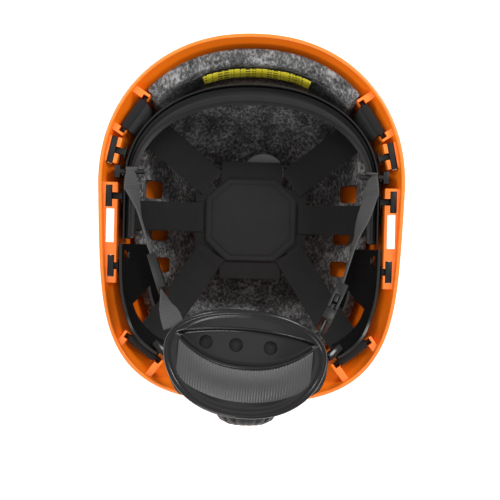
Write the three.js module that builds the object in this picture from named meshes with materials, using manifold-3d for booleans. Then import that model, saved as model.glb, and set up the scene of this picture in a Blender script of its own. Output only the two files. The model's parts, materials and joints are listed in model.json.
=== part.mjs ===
// An arborist helmet lying on its crown, opening upwards. Millimetres, +Z up, front towards -Y,
// origin at the middle of the flat land on the crown.
import * as THREE from 'three';
import { mergeVertices } from 'three/addons/utils/BufferGeometryUtils.js';
import Module from 'manifold-3d';

const wasm = await Module();
wasm.setup();

// ---------- driving dimensions ----------
const fit = 0.3; // gap between pieces that touch

// shell
const rimLength = 280;
const rimWidth = 233.4;
const rimHeight = 150;
const shellWall = 3;
const frontLength = 115; // from the front edge to the widest place
const frontRound = 2.15; // exponents of the outline
const rearSquare = 4.6;
const rearRound = 2.8;
const rearTaper = 0.055;
const bodyInset = 11.67; // from the rim in to the upright wall, at the sides
const flareDepth = 38; // height over which the wall flares out to the rim
const domeDrop = 45; // from the rim to where the crown's dome starts
const domeRound = 2;
const landShare = 0.2; // flat land on the crown, as a share of the body

// liner
const linerGap = 4.6; // between the shell and the liner
const linerSide = 8.2;
const linerFront = 4.8;
const linerBrow = 9; // how much thicker it is at its front edge
const linerFrontDrop = 10; // from the rim down to its edge at the front
const linerSideDrop = 60;
const linerRearDrop = 70;
const linerBrowTall = 24; // height over which its front edge thickens
const ventWidth = 13;

// headband
const bandSideGap = 19.2; // from the rim to the middle of the front strip
const bandFrontGap = 37.3;
const stripThick = 1.6;
const bandTopDrop = 10; // from the rim plane down to the band's edge
const stripTall = 38;
const stripEnd = 18; // Y of the ends of the front strip
const browPadFront = 11; // its thickness at the front and at the sides
const browPadSide = 4;
const labelTall = 14;
const labelThick = 0.5;
const sideBandGap = 15.9;
const sideBandThick = 2;
const sideBandTall = 60;
const sideBandLean = 20; // degrees
const sideBandStart = 22;
const sideBandEndGap = 37; // from the back of the rim to the band's end
const rearBandGap = 23.8;
const sideBandSquare = 5;

// cradle
const cradleDrop = 78; // from the rim plane to the underside of the crown backing
const padWidth = 74;
const padLength = 67;
const padSideEdge = 35; // straight part of the octagon's side edges
const padFrontEdge = 39;
const padTall = 3.2;
const backingThick = 1.6;
const backingWidth = 92;
const backingLength = 54;
const tabWidth = 50;
const tabLength = 15;
const webWidth = 25;
const webThick = 1.5;

// pins, keys and rails at the rim
const pinRadius = 2;
const pinDrop = 9.5; // from the rim plane to a pin's axis
const frontPinInset = 5.82; // from the wall to a pin's axis, at the web's nearer edge
const rearPinInset = 6.54;
const hookWidth = 5.6;
const hookTall = 15;
const hookGap = 0.8; // between a web's edge and the hooks
const railDrop = 5; // from the rim plane to the top of the rails
const railTall = 19;
const railDeep = 9.8; // from the inside of the wall to the rails' inner face
const railStart = -25;
const railEnd = 52;
const railBack = 30; // depth of a rail before the wall cuts it off
const frontRailLength = 20;
const keyFoot = 0.8; // flat end of a key against the band
const keyLength = 16;
const frontKeyLength = 20;
const keyThick = 4.4;
const keyStem = 4.6;
const keyTall = 15;
const slotWidth = 6; // through slot for ear defenders
const slotStart = -5;
const slotEnd = 21;

// ratchet at the nape
const housingWidth = 62;
const housingTall = 36;
const housingGap = 18; // from the back of the rim to the housing's inner face
const housingRise = 28; // its middle above the rim plane
const channelDeep = 10.5;
const coverThick = 2.7;
const toothCount = 12;
const gearModule = 1;
const rackThick = 3;
const rackTall = 4.4;
const knobRadius = 23;
const knobThick = 14;
const fluteCount = 16;
const shaftRadius = 3;

// chin strap
const anchorY = -33;
const anchorRise = -4; // bar of the anchor above the rim plane
const anchorBar = 2;
const anchorFoot = 5; // from the inside of the wall to the anchor's inner face
const anchorClear = 1.32; // between the anchor's foot and the web's edge
const chinWebWidth = 15;
const chinWebThick = 1.4;
const sliderLength = 28;
const buckleLength = 22;
const buckleWidth = 24;
const buckleThick = 8;
const cupHalfLength = 55.5;
const cupFrontWidth = 29;
const cupRearWidth = 42.5;
const cupRise = 12;
const cupWall = 2.5;
const cupLiningThick = 2;
const cupLiningShare = 0.8; // of the cup's outline
const cupHoleRadius = 4.8;
const cupHoles = [-28, -8, 16];
const webbingHalf = 46;
const webbingEdge = 9; // from the cup's rear edge
const webbingFrom = 4;

// ---------- worked out from them ----------
const halfWidth = rimWidth / 2;
const halfLength = rimLength / 2;
const widestY = frontLength - halfLength;
const rearLength = halfLength - widestY;
const bodyShare = 1 - bodyInset / halfWidth;
const domeHeight = rimHeight - domeDrop;
const flareStart = rimHeight - flareDepth;
const browStart = rimHeight - linerFrontDrop - linerBrowTall;
const bandTop = rimHeight - bandTopDrop;
const bandLow = bandTop - stripTall;
const cradleZ = rimHeight - cradleDrop;
const railTop = rimHeight - railDrop;
const pinZ = rimHeight - pinDrop;
const sideBandEnd = halfLength - sideBandEndGap;
const rearBandLength = halfLength - rearBandGap;
const housingY = halfLength - housingGap;
const housingZ = rimHeight + housingRise;
const anchorZ = rimHeight + anchorRise;

// how finely the bowls are divided
const shellColumns = 60;
const shellLevels = 13;
const linerLevels = 13;
const bandSteps = 14;

const v = (x, y, z = 0) => new THREE.Vector3(x, y, z);
const group = new THREE.Group();

const finishes = {
  orange: [0xf26a12, 0.35],
  foam: [0x3a3a3b, 0.95],
  black: [0x151516, 0.4],
  gloss: [0x1a1a1b, 0.18],
  web: [0x242426, 0.9],
  pad: [0x202022, 0.95],
  grey: [0x8b8b8d, 0.5],
  yellow: [0xe2cf20, 0.6],
  steel: [0xa6a6a8, 0.3],
};

function add(name, geometry, finish) {
  const [color, roughness] = finishes[finish];
  const metalness = finish === 'steel' ? 1 : 0;
  const material = new THREE.MeshStandardMaterial({ color, roughness, metalness });
  const mesh = new THREE.Mesh(geometry, material);
  mesh.name = name;
  group.add(mesh);
}

// ---------- solids ----------
function volumeOf(points, triangles) {
  let sum = 0;
  for (const [a, b, c] of triangles) {
    sum += points[a].dot(points[b].clone().cross(points[c]));
  }
  return sum / 6;
}

function closedGeometry(points, triangles) {
  const outward = volumeOf(points, triangles) > 0;
  const faces = outward ? triangles : triangles.map(([a, b, c]) => [a, c, b]);
  const geometry = new THREE.BufferGeometry();
  geometry.setFromPoints(points);
  geometry.setIndex(faces.flat());
  return geometry;
}

// Rings of equal count joined one to the next, with a flat cap on both ends.
function loft(rings) {
  const count = rings[0].length;
  const points = rings.flat();
  const triangles = [];
  for (let r = 0; r + 1 < rings.length; r += 1) {
    for (let k = 0; k < count; k += 1) {
      const a = r * count + k;
      const b = r * count + ((k + 1) % count);
      triangles.push([a, b, b + count], [a, b + count, a + count]);
    }
  }
  for (const [start, turned] of [[0, true], [(rings.length - 1) * count, false]]) {
    const middle = points.length;
    const ring = points.slice(start, start + count);
    points.push(ring.reduce((sum, p) => sum.add(p), v(0, 0)).divideScalar(count));
    for (let k = 0; k < count; k += 1) {
      const a = start + k;
      const b = start + ((k + 1) % count);
      triangles.push(turned ? [middle, b, a] : [middle, a, b]);
    }
  }
  return closedGeometry(points, triangles);
}

// Profiles all round an axis, between two points on it.
function wrap(columns, startPole, endPole) {
  const deep = columns[0].length;
  const points = columns.flat();
  const triangles = [];
  const first = points.push(startPole) - 1;
  const last = points.push(endPole) - 1;
  columns.forEach((column, c) => {
    const here = c * deep;
    const next = ((c + 1) % columns.length) * deep;
    triangles.push([first, here, next], [last, next + deep - 1, here + deep - 1]);
    for (let k = 0; k + 1 < deep; k += 1) {
      triangles.push([here + k, here + k + 1, next + k + 1], [here + k, next + k + 1, next + k]);
    }
  });
  return closedGeometry(points, triangles);
}

function toSolid(geometry) {
  const bare = geometry.clone();
  bare.deleteAttribute('normal');
  bare.deleteAttribute('uv');
  const merged = mergeVertices(bare, 1e-3);
  return new wasm.Manifold(new wasm.Mesh({
    numProp: 3,
    vertProperties: Float32Array.from(merged.attributes.position.array),
    triVerts: Uint32Array.from(merged.index.array),
  }));
}

function toGeometry(solid) {
  const { vertProperties, triVerts } = solid.getMesh();
  const geometry = new THREE.BufferGeometry();
  geometry.setAttribute('position', new THREE.BufferAttribute(vertProperties, 3));
  geometry.setIndex(new THREE.BufferAttribute(triVerts, 1));
  return geometry;
}

// A box with its own directions: across and along lie level unless an up direction is given.
function block(middle, along, up, length, width, height) {
  const x = along.clone().normalize();
  const y = up.clone().cross(x).normalize();
  const z = x.clone().cross(y);
  const geometry = new THREE.BoxGeometry(length, width, height);
  const frame = new THREE.Matrix4().makeBasis(x, y, z).setPosition(middle);
  return geometry.applyMatrix4(frame);
}

const upright = v(0, 0, 1);

function rod(from, to, radius, sides = 16) {
  const axis = to.clone().sub(from);
  const geometry = new THREE.CylinderGeometry(radius, radius, axis.length(), sides);
  const turn = new THREE.Quaternion().setFromUnitVectors(v(0, 1), axis.clone().normalize());
  geometry.applyQuaternion(turn);
  const middle = from.clone().add(to).multiplyScalar(0.5);
  return geometry.translate(middle.x, middle.y, middle.z);
}

function smooth(points, steps) {
  return new THREE.CatmullRomCurve3(points, false, 'centripetal').getPoints(steps);
}

function tangentAt(path, k) {
  const before = path[Math.max(k - 1, 0)];
  const after = path[Math.min(k + 1, path.length - 1)];
  return after.clone().sub(before).normalize();
}

// A flat strap along a path. Across says which way its width lies at each point.
function ribbon(path, across, width, thick) {
  return loft(path.map((point, k) => {
    const wide = across(k / (path.length - 1)).clone().normalize();
    const normal = tangentAt(path, k).cross(wide).normalize();
    const half = wide.multiplyScalar(width / 2);
    const deep = normal.multiplyScalar(thick / 2);
    return [
      point.clone().sub(half).sub(deep),
      point.clone().add(half).sub(deep),
      point.clone().add(half).add(deep),
      point.clone().sub(half).add(deep),
    ];
  }));
}

// ---------- outlines ----------
function rimCorner(angle) {
  const across = Math.cos(angle);
  const along = Math.abs(Math.sin(angle));
  if (angle < 0) {
    const x = halfWidth * across ** (2 / frontRound);
    return v(x, widestY - frontLength * along ** (2 / frontRound));
  }
  const share = along ** (2 / rearSquare);
  const x = halfWidth * (1 - rearTaper * share) * across ** (2 / rearRound);
  return v(x, widestY + rearLength * share);
}

function evenly(points, count) {
  const lengths = [0];
  for (let k = 1; k < points.length; k += 1) {
    lengths.push(lengths[k - 1] + points[k].distanceTo(points[k - 1]));
  }
  const total = lengths[lengths.length - 1];
  return Array.from({ length: count + 1 }, (_, n) => {
    const target = (total * n) / count;
    let k = 1;
    while (k < points.length - 1 && lengths[k] < target) k += 1;
    const share = (target - lengths[k - 1]) / (lengths[k] - lengths[k - 1]);
    return points[k - 1].clone().lerp(points[k], share);
  });
}

// The rim's outline all round, from the front, by even steps.
function rimOutline(count) {
  const fine = 720;
  const half = Array.from({ length: fine + 1 }, (_, n) => {
    const angle = -Math.PI / 2 + (Math.PI * n) / fine;
    const point = rimCorner(angle);
    return n === 0 || n === fine ? v(0, point.y) : point;
  });
  const right = evenly(half, count / 2);
  const left = right.slice(1, -1).reverse().map((p) => v(-p.x, p.y));
  return [...right, ...left];
}

const measuringRim = rimOutline(288);

// How far a level line from start runs before it meets an outline.
function reach(start, direction, outline) {
  const found = outline.map((a, k) => {
    const b = outline[(k + 1) % outline.length];
    const edge = b.clone().sub(a);
    const cross = direction.x * edge.y - direction.y * edge.x;
    const away = a.clone().sub(start);
    const far = (away.x * edge.y - away.y * edge.x) / cross;
    const share = (away.x * direction.y - away.y * direction.x) / cross;
    return share >= 0 && share <= 1 && far > 0 ? far : Infinity;
  });
  return Math.min(...found);
}

// The wall's outline at a height, as a share of the rim's.
function shareAt(z) {
  if (z < domeHeight) {
    const base = landShare ** domeRound;
    const rise = 1 - (1 - z / domeHeight) ** domeRound;
    return bodyShare * (base + (1 - base) * rise) ** (1 / domeRound);
  }
  const t = Math.min(Math.max((z - flareStart) / flareDepth, 0), 1);
  return bodyShare + (1 - bodyShare) * t * t * (3 - 2 * t);
}

// A point of the wall at a height, moved inwards by a depth.
function wallPoint(outline, k, z, depth) {
  const step = 0.01;
  const here = outline[k];
  const side = outline[(k + 1) % outline.length].clone();
  side.sub(outline[(k + outline.length - 1) % outline.length]);
  const slope = (shareAt(z + step) - shareAt(Math.max(z - step, 0)))
    / (z + step - Math.max(z - step, 0));
  const up = v(here.x * slope, here.y * slope, 1);
  const out = side.cross(up).normalize();
  const share = shareAt(z);
  return v(here.x * share, here.y * share, z).addScaledVector(out, -depth);
}

const insideAt = (start, direction, z) => {
  const share = shareAt(z);
  const scaled = measuringRim.map((p) => p.clone().multiplyScalar(share));
  return reach(start, direction, scaled) - shellWall;
};

function levels(top, count) {
  const crowding = 1.6; // closer together near the crown
  return Array.from({ length: count + 1 }, (_, k) => top * (k / count) ** crowding);
}

function bowl(outline, levelCount, topAt, outerDepth, innerDepthAt) {
  const columns = outline.map((point, k) => {
    const heights = levels(topAt(point), levelCount);
    const outer = heights.map((z) => wallPoint(outline, k, z, outerDepth));
    const inner = heights.map((z) => wallPoint(outline, k, z, innerDepthAt(point, z)));
    const top = outer[levelCount].z;
    inner[levelCount].z = top;
    return [...outer, ...inner.reverse()];
  });
  const middles = [outerDepth, innerDepthAt(v(0, 0), 0)];
  return wrap(columns, v(0, 0, middles[0]), v(0, 0, middles[1]));
}

// ---------- places at the rim ----------
const sides = [['left', -1], ['right', 1]];

// On plan: where a front or rear web starts at the pad, the way it runs, and the way over its pin.
const webPlans = {
  front: {
    start: [padWidth / 2 - 4.3, -padLength / 2 + 3.1],
    way: [0.78, -0.626],
    pinWay: [0.83, -0.558],
    inset: frontPinInset,
  },
  rear: {
    start: [padWidth / 2 - 5.1, padLength / 2 - 6.9],
    way: [0.541, 0.841],
    pinWay: [0.6, 0.8],
    inset: rearPinInset,
  },
};

function webLine(name, side) {
  const plan = webPlans[name];
  const start = v(side * plan.start[0], plan.start[1]);
  const [direction, pinWay] = [plan.way, plan.pinWay].map(([x, y]) => v(side * x, y).normalize());
  const across = v(-direction.y, direction.x);
  const edges = [-1, 1].map((end) => start.clone().addScaledVector(across, (end * webWidth) / 2));
  const wallAt = Math.min(...edges.map((edge) => insideAt(edge, direction, pinZ)));
  const pinAcross = v(-pinWay.y, pinWay.x);
  return { start, direction, pinWay, pinAt: wallAt - plan.inset, across, pinAcross };
}

const webLines = sides.flatMap(([name, side]) => [
  { name: `front_${name}`, end: 'front', side, ...webLine('front', side) },
  { name: `rear_${name}`, end: 'rear', side, ...webLine('rear', side) },
]);

const pinLength = webWidth + 8;
const hookReach = 26; // past the wall, which cuts it off
const pinMiddle = (line) => line.start.clone().addScaledVector(line.direction, line.pinAt).setZ(pinZ);

const keyPlaces = [
  { name: 'front', y: -50, length: frontKeyLength, turn: -12, clear: 3.4 },
  { name: 'middle', y: -14.5, length: keyLength, turn: 0, clear: 0.6 },
  { name: 'rear', y: 39, length: keyLength, turn: 0, clear: 0.4 },
];

const railFace = (y) => insideAt(v(0, y), v(1, 0), railTop) - railDeep;

function keyFrame(place, side) {
  const turn = THREE.MathUtils.degToRad(place.turn) * side;
  const along = v(-Math.sin(turn), Math.cos(turn));
  const inward = v(-side * Math.cos(turn), -side * Math.sin(turn));
  const x = side * (railFace(place.y) + 3.4 + keyThick / 2);
  return { along, inward, head: v(x, place.y) };
}

// ---------- shell ----------
function railBlock(side, from, to) {
  const face = railFace((from + to) / 2);
  const middle = v(side * (face + railBack / 2), (from + to) / 2, railTop - railTall / 2);
  return toSolid(block(middle, v(0, 1), upright, to - from, railBack, railTall));
}

function frontRail(side) {
  const { along, inward, head } = keyFrame(keyPlaces[0], side);
  const middle = head.clone().addScaledVector(inward, -9.5).setZ(railTop - railTall / 2);
  return toSolid(block(middle, along, upright, frontRailLength, railBack, railTall));
}

function keySlot(side, place) {
  const { along, inward, head } = keyFrame(place, side);
  const tall = keyTall + 1 + railDrop;
  const z = railTop - keyTall - fit + tall / 2;
  const headCut = block(head.clone().setZ(z), along, upright, place.length + 2 * fit,
    keyThick + 2 * fit, tall);
  const stemMiddle = head.clone().addScaledVector(inward, 9).setZ(z);
  const stemCut = block(stemMiddle, along, upright, keyStem + 2 * fit, 18, tall);
  return toSolid(headCut).add(toSolid(stemCut));
}

function earSlot(side) {
  const face = railFace(5);
  const spread = 0.135; // the slot leans outwards with the flare
  const rings = [railTop + 6, flareStart - 8].map((z) => {
    const low = face + 2 + (railTop - z) * spread;
    const high = low + slotWidth;
    return [v(side * low, slotStart, z), v(side * high, slotStart, z),
      v(side * high, slotEnd, z), v(side * low, slotEnd, z)];
  });
  return toSolid(loft(rings));
}

// The two ends of a pin sit in open notches of a hook block each.
function pinHooks(line) {
  const middle = pinMiddle(line);
  const offset = (webWidth + hookWidth) / 2 + hookGap;
  const hooks = [-1, 1].map((end) => {
    const at = middle.clone().addScaledVector(line.pinAcross, end * offset);
    at.addScaledVector(line.pinWay, hookReach / 2 - pinRadius - 0.6);
    at.z = pinZ - 2;
    return toSolid(block(at, line.pinAcross, upright, hookWidth, hookReach, hookTall));
  });
  const notchTop = 12;
  const notch = block(
    middle.clone().setZ(pinZ - pinRadius - fit + notchTop / 2),
    line.pinAcross, upright, pinLength + 2 * fit, 2 * (pinRadius + fit), notchTop,
  );
  return { hooks: hooks[0].add(hooks[1]), notch: toSolid(notch) };
}

function makeShell() {
  const outline = rimOutline(shellColumns);
  const top = () => rimHeight;
  let shell = toSolid(bowl(outline, shellLevels, top, 0, () => shellWall));
  const outerColumns = outline.map((_, k) => (
    levels(rimHeight, shellLevels).map((z) => wallPoint(outline, k, z, 0))));
  const filled = toSolid(wrap(outerColumns, v(0, 0, 0), v(0, 0, rimHeight)));
  for (const [, side] of sides) {
    shell = shell.add(railBlock(side, railStart, railEnd).intersect(filled));
    shell = shell.add(frontRail(side).intersect(filled));
  }
  for (const line of webLines) {
    const { hooks, notch } = pinHooks(line);
    shell = shell.add(hooks.intersect(filled)).subtract(notch);
  }
  for (const [, side] of sides) {
    for (const place of keyPlaces) shell = shell.subtract(keySlot(side, place));
    shell = shell.subtract(earSlot(side));
  }
  add('shell', toGeometry(shell), 'orange');
}

// ---------- liner ----------
function step01(value, low, high) {
  const t = Math.min(Math.max((value - low) / (high - low), 0), 1);
  return t * t * (3 - 2 * t);
}

const frontPart = (point) => 1 - step01(Math.abs(point.x) / halfWidth, 0.66, 0.8);
const isFront = (point) => (point.y < widestY ? frontPart(point) : 0);

function linerTop(point) {
  const rear = step01(point.y, halfLength * 0.35, halfLength * 0.6);
  const drop = linerSideDrop + (linerRearDrop - linerSideDrop) * rear;
  return rimHeight - drop - (linerFrontDrop - drop) * isFront(point);
}

function linerDeep(point, z) {
  const brow = linerBrow * step01(z, browStart, rimHeight - linerFrontDrop);
  const thick = linerSide + (linerFront + brow - linerSide) * isFront(point);
  return shellWall + linerGap + thick;
}

const vents = [
  { y: -24, length: 15, out: 0.7 },
  { y: 13, length: 11, out: 0.66 },
  { y: 39, length: 13, out: 0.64 },
];

function makeLiner() {
  const outline = rimOutline(shellColumns);
  let liner = toSolid(bowl(outline, linerLevels, linerTop, shellWall + linerGap, linerDeep));
  for (const [, side] of sides) {
    for (const vent of vents) {
      const middle = v(side * halfWidth * vent.out, vent.y, rimHeight / 2);
      const cut = block(middle, v(0, 1), upright, vent.length, ventWidth, rimHeight);
      liner = liner.subtract(toSolid(cut));
    }
  }
  add('foam_liner', toGeometry(liner), 'foam');
  const button = new THREE.CylinderGeometry(18, 18, 2, 32).rotateX(Math.PI / 2 - 0.32);
  add('liner_button', button.translate(-10, -42, 33), 'grey');
}

// ---------- headband ----------
function stripPath(grow, frontGrow = grow, steps = 36) {
  const a = halfWidth - bandSideGap + grow;
  const b = frontLength - bandFrontGap + frontGrow;
  const arc = Array.from({ length: steps + 1 }, (_, n) => {
    const angle = (Math.PI * n) / steps;
    const x = a * Math.sign(Math.cos(angle)) * Math.abs(Math.cos(angle)) ** (2 / frontRound);
    return v(x, widestY - b * Math.sin(angle) ** (2 / frontRound));
  });
  const path = [v(a, stripEnd), v(a, widestY / 2), ...arc, v(-a, widestY / 2), v(-a, stripEnd)];
  return evenly(path, steps);
}

function upWall(inner, outer, low, high) {
  return loft(inner.map((point, k) => [
    point.clone().setZ(low), outer[k].clone().setZ(low),
    outer[k].clone().setZ(high), point.clone().setZ(high),
  ]));
}

function sideBandPoint(y) {
  const a = halfWidth - sideBandGap;
  return v(a * Math.sqrt(1 - (y / rearBandLength) ** sideBandSquare), y);
}

function bandPoint(k, count) {
  const y = sideBandStart + ((sideBandEnd - sideBandStart) * k) / count;
  const here = sideBandPoint(y);
  const out = sideBandPoint(y - 0.5).sub(sideBandPoint(y + 0.5)).normalize();
  return { here, out: v(-out.y, out.x).multiplyScalar(Math.sign(-out.y || 1)) };
}

const labelFrom = -19; // in steps of the outline either side of the front
const labelTo = 17;

function makeHeadband() {
  const half = stripThick / 2;
  add('headband_strip', upWall(stripPath(-half), stripPath(half), bandLow, bandTop), 'black');
  const padOuter = -half - fit;
  const padInner = stripPath(padOuter - browPadSide, padOuter - browPadFront);
  add('brow_pad', upWall(padInner, stripPath(padOuter), bandLow, bandTop), 'pad');
  makeLabel();
}

// The label stands upright against the liner's front edge.
function makeLabel() {
  const outline = rimOutline(288);
  const top = rimHeight - linerFrontDrop - 1;
  const depth = linerDeep(v(0, -halfLength), top) + 2.8;
  const rings = [];
  for (let n = labelFrom; n <= labelTo; n += 3) {
    const k = (n + outline.length) % outline.length;
    const back = wallPoint(outline, k, top, depth);
    const face = wallPoint(outline, k, top, depth + labelThick);
    rings.push([back.clone().setZ(top - labelTall), back.setZ(top), face.clone().setZ(top),
      face.setZ(top - labelTall)]);
  }
  add('size_label', loft(rings), 'yellow');
}

// A cut through the leaning band, between two depths and two drops from its top.
function bandRing(side, k, [outer, inner], [high, low]) {
  const lean = Math.tan(THREE.MathUtils.degToRad(sideBandLean));
  const { here, out } = bandPoint(k, bandSteps);
  return [[outer, high], [inner, high], [inner, low], [outer, low]].map(([deep, down]) => {
    const point = here.clone().addScaledVector(out, -deep - down * lean);
    return v(side * point.x, point.y, bandTop - down);
  });
}

function sideBand(side) {
  const rings = Array.from({ length: bandSteps + 1 }, (_, k) => {
    const rounding = Math.sin((Math.PI * (k + 2)) / (bandSteps + 4));
    const lift = 9 * step01(k / bandSteps, 0.6, 1); // the end rises to the rack's lug
    return bandRing(side, k, [0, sideBandThick], [-lift, sideBandTall * (0.55 + 0.45 * rounding)]);
  });
  return toSolid(loft(rings));
}

function makeSideBands() {
  for (const [name, side] of sides) {
    let band = sideBand(side);
    const line = webLines.find((one) => one.name === `rear_${name}`);
    const cross = line.start.clone().addScaledVector(line.direction, line.pinAt - 14)
      .setZ(bandTop - 30);
    cross.addScaledVector(line.across, side * -7);
    band = band.subtract(toSolid(block(cross, line.across, upright, webWidth + 17, 60, 34)));
    const hole = v(side * (halfWidth - sideBandGap), sideBandStart + 9, bandTop - 9);
    band = band.subtract(toSolid(rod(hole, hole.clone().setX(0), 4.5)));
    add(`side_band_${name}`, toGeometry(band), 'gloss');
  }
}

// ---------- cradle ----------
function octagon(width, length, front, side) {
  const shape = new THREE.Shape();
  const corners = [[front, length], [width, side], [width, -side], [front, -length],
    [-front, -length], [-width, -side], [-width, side], [-front, length]];
  corners.forEach(([x, y], k) => (k ? shape.lineTo(x / 2, y / 2) : shape.moveTo(x / 2, y / 2)));
  shape.closePath();
  return shape;
}

function slab(shape, low, thick) {
  const geometry = new THREE.ExtrudeGeometry(shape, { depth: thick, bevelEnabled: false });
  return geometry.translate(0, 0, low);
}

function makeCrownPad() {
  const padLow = cradleZ + backingThick + fit;
  const pad = octagon(padWidth, padLength, padFrontEdge, padSideEdge);
  add('crown_pad', slab(pad, padLow, padTall), 'pad');
  const overTabs = padLength + 2 * tabLength;
  const wide = octagon(backingWidth, backingLength, tabWidth, backingLength - 4);
  const long = octagon(tabWidth, overTabs, tabWidth - 2, overTabs - 2);
  const around = octagon(padWidth + 4, padLength + 4, padFrontEdge, padSideEdge);
  const backing = toSolid(slab(wide, cradleZ, backingThick))
    .add(toSolid(slab(long, cradleZ, backingThick)))
    .add(toSolid(slab(around, cradleZ, backingThick)));
  add('crown_backing', toGeometry(backing), 'web');
}

// Over the pin and down its outer side.
function overPin(line, radius) {
  const centre = pinMiddle(line);
  const turns = 8;
  const over = Array.from({ length: turns + 1 }, (_, k) => {
    const angle = Math.PI - (Math.PI * k) / turns;
    return centre.clone().addScaledVector(line.pinWay, radius * Math.cos(angle))
      .setZ(pinZ + radius * Math.sin(angle));
  });
  const tail = over[turns].clone();
  tail.z -= 4;
  return [...over, tail];
}

function cradleWeb(line) {
  const low = cradleZ + backingThick + fit + webThick / 2;
  const at = (far, z) => line.start.clone().addScaledVector(line.direction, far).setZ(z);
  const loop = pinRadius + fit + webThick / 2;
  const strip = reach(line.start, line.direction, stripPath(0));
  const front = [at(0, low), at(14, low + 0.4), at(30, low + 8), at(strip - 17.2, bandLow - 9),
    at(strip - 5.2, bandLow - 6), at(strip + 1.3, bandLow - 2.6), at(strip + 4.4, bandLow + 3),
    at(line.pinAt - loop - 3.4, pinZ - 22), at(line.pinAt - loop - 1.8, pinZ - 10)];
  const rear = [at(0, low), at(16, low + 0.4), at(44, low + 12), at(line.pinAt - 24, bandTop - 38),
    at(line.pinAt - 14, bandTop - 31), at(line.pinAt - 7, bandTop - 21),
    at(line.pinAt - loop - 1.2, pinZ - 10)];
  const path = [...smooth(line.end === 'front' ? front : rear, 18), ...overPin(line, loop)];
  const across = (share) => line.across.clone().lerp(line.pinAcross, step01(share, 0.45, 0.7));
  return ribbon(path, across, webWidth, webThick);
}

function sideWeb(side) {
  const low = cradleZ + backingThick + fit + webThick / 2;
  const strip = halfWidth - bandSideGap + stripThick / 2;
  const out = strip + fit + webThick / 2;
  const y = -1.6;
  const path = smooth([v(side * 39.4, y, low), v(side * 55, y, low + 1), v(side * 76, y, low + 12),
    v(side * (strip - 5), y, bandLow - 7), v(side * (out - 0.4), y, bandLow - 3),
    v(side * (out + 0.2), y, bandLow + 4), v(side * (out + 0.2), y, bandLow + 24)], 18);
  return ribbon(path, () => v(0, 1), webWidth - 1, webThick);
}

function makeCradle() {
  makeCrownPad();
  for (const line of webLines) {
    add(`web_${line.name}`, cradleWeb(line), 'web');
    const half = line.pinAcross.clone().multiplyScalar(pinLength / 2);
    const middle = pinMiddle(line);
    const pin = rod(middle.clone().sub(half), middle.clone().add(half), pinRadius);
    add(`pin_${line.name}`, pin, 'black');
  }
  for (const [name, side] of sides) {
    add(`web_side_${name}`, sideWeb(side), 'web');
    const x = side * (halfWidth - bandSideGap + stripThick / 2 + webThick + 4 * fit);
    const from = v(x, -1.6, bandLow + 20);
    add(`web_rivet_${name}`, rod(from, from.clone().setX(x + side * 1), 3.5, 12), 'black');
  }
}

// The outer face of the headband beside a key.
function bandEdge(y) {
  if (y > 0) return sideBandPoint(y).x;
  const outer = stripPath(stripThick / 2, stripThick / 2, 120);
  return Math.max(...outer.filter((point) => point.y < y).map((point) => point.x));
}

function makeKeys() {
  for (const [name, side] of sides) {
    for (const place of keyPlaces) {
      const { along, inward, head } = keyFrame(place, side);
      const z = railTop - keyTall / 2;
      const headBlock = block(head.clone().setZ(z), along, upright, place.length, keyThick,
        keyTall);
      const edge = bandEdge(place.y);
      const stemLength = (edge + place.clear - Math.abs(head.x)) / (side * inward.x);
      const stemTall = 7;
      const stemZ = bandTop - stemTall / 2;
      const stem = block(head.clone().addScaledVector(inward, stemLength / 2).setZ(stemZ), along,
        upright, keyStem, stemLength, stemTall);
      const foot = block(head.clone().addScaledVector(inward, stemLength - keyFoot / 2).setZ(stemZ),
        along, upright, 10, keyFoot, stemTall);
      const key = toSolid(headBlock).add(toSolid(stem)).add(toSolid(foot));
      add(`key_${place.name}_${name}`, toGeometry(key), 'black');
    }
  }
}

// ---------- ratchet ----------
const rackStart = 14; // a rack's inner tip beyond the pinion
const pitchRadius = (toothCount * gearModule) / 2;

function toothedStrip(side) {
  const pitch = Math.PI * gearModule;
  const root = pitchRadius + 1.25 * gearModule;
  const tip = pitchRadius - 0.6 * gearModule;
  const shape = new THREE.Shape();
  const from = -rackStart;
  const to = 44;
  shape.moveTo(from, root + rackTall);
  shape.lineTo(from, root);
  const first = Math.ceil((from + 1) / pitch);
  const last = Math.floor(18 / pitch);
  for (let n = first; n <= last; n += 1) {
    const x = (n + 0.5) * pitch;
    shape.lineTo(x - 0.27 * pitch, root);
    shape.lineTo(x - 0.1 * pitch, tip);
    shape.lineTo(x + 0.1 * pitch, tip);
    shape.lineTo(x + 0.27 * pitch, root);
  }
  shape.lineTo(to, root);
  shape.lineTo(to, root + rackTall);
  shape.closePath();
  const geometry = new THREE.ExtrudeGeometry(shape, { depth: rackThick, bevelEnabled: false });
  geometry.rotateX(Math.PI / 2);
  const turned = side > 0 ? geometry : geometry.rotateY(Math.PI);
  return turned.translate(0, housingY + 5.5 + rackThick + 1, housingZ);
}

const lugAcross = sideBandPoint(sideBandEnd).x - 2.8;

function rackArm(side) {
  const reachTo = lugAcross - 5.5;
  const across = (share) => side * (40 + (reachTo - 40) * share);
  const y = housingY + 5.5 + 1 + rackThick / 2;
  const z = housingZ + side * (pitchRadius + 1.25 + rackTall / 2);
  const path = smooth([v(across(0), y, z), v(across(0.41), y - 1.2, housingZ - 5),
    v(across(0.82), y - 10, housingZ - 16), v(across(1), y - 22.4, rimHeight + 4)], 10);
  const tall = (share) => rackTall + (12 - rackTall) * Math.min(1, share * 4);
  return loft(path.map((point, k) => {
    const share = k / (path.length - 1);
    const along = tangentAt(path, k);
    const normal = v(along.y, -along.x).normalize();
    const wide = along.clone().cross(normal).normalize().multiplyScalar(tall(share) / 2);
    const deep = normal.clone().multiplyScalar(1.1);
    return [point.clone().sub(wide).sub(deep), point.clone().add(wide).sub(deep),
      point.clone().add(wide).add(deep), point.clone().sub(wide).add(deep)];
  }));
}

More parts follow.
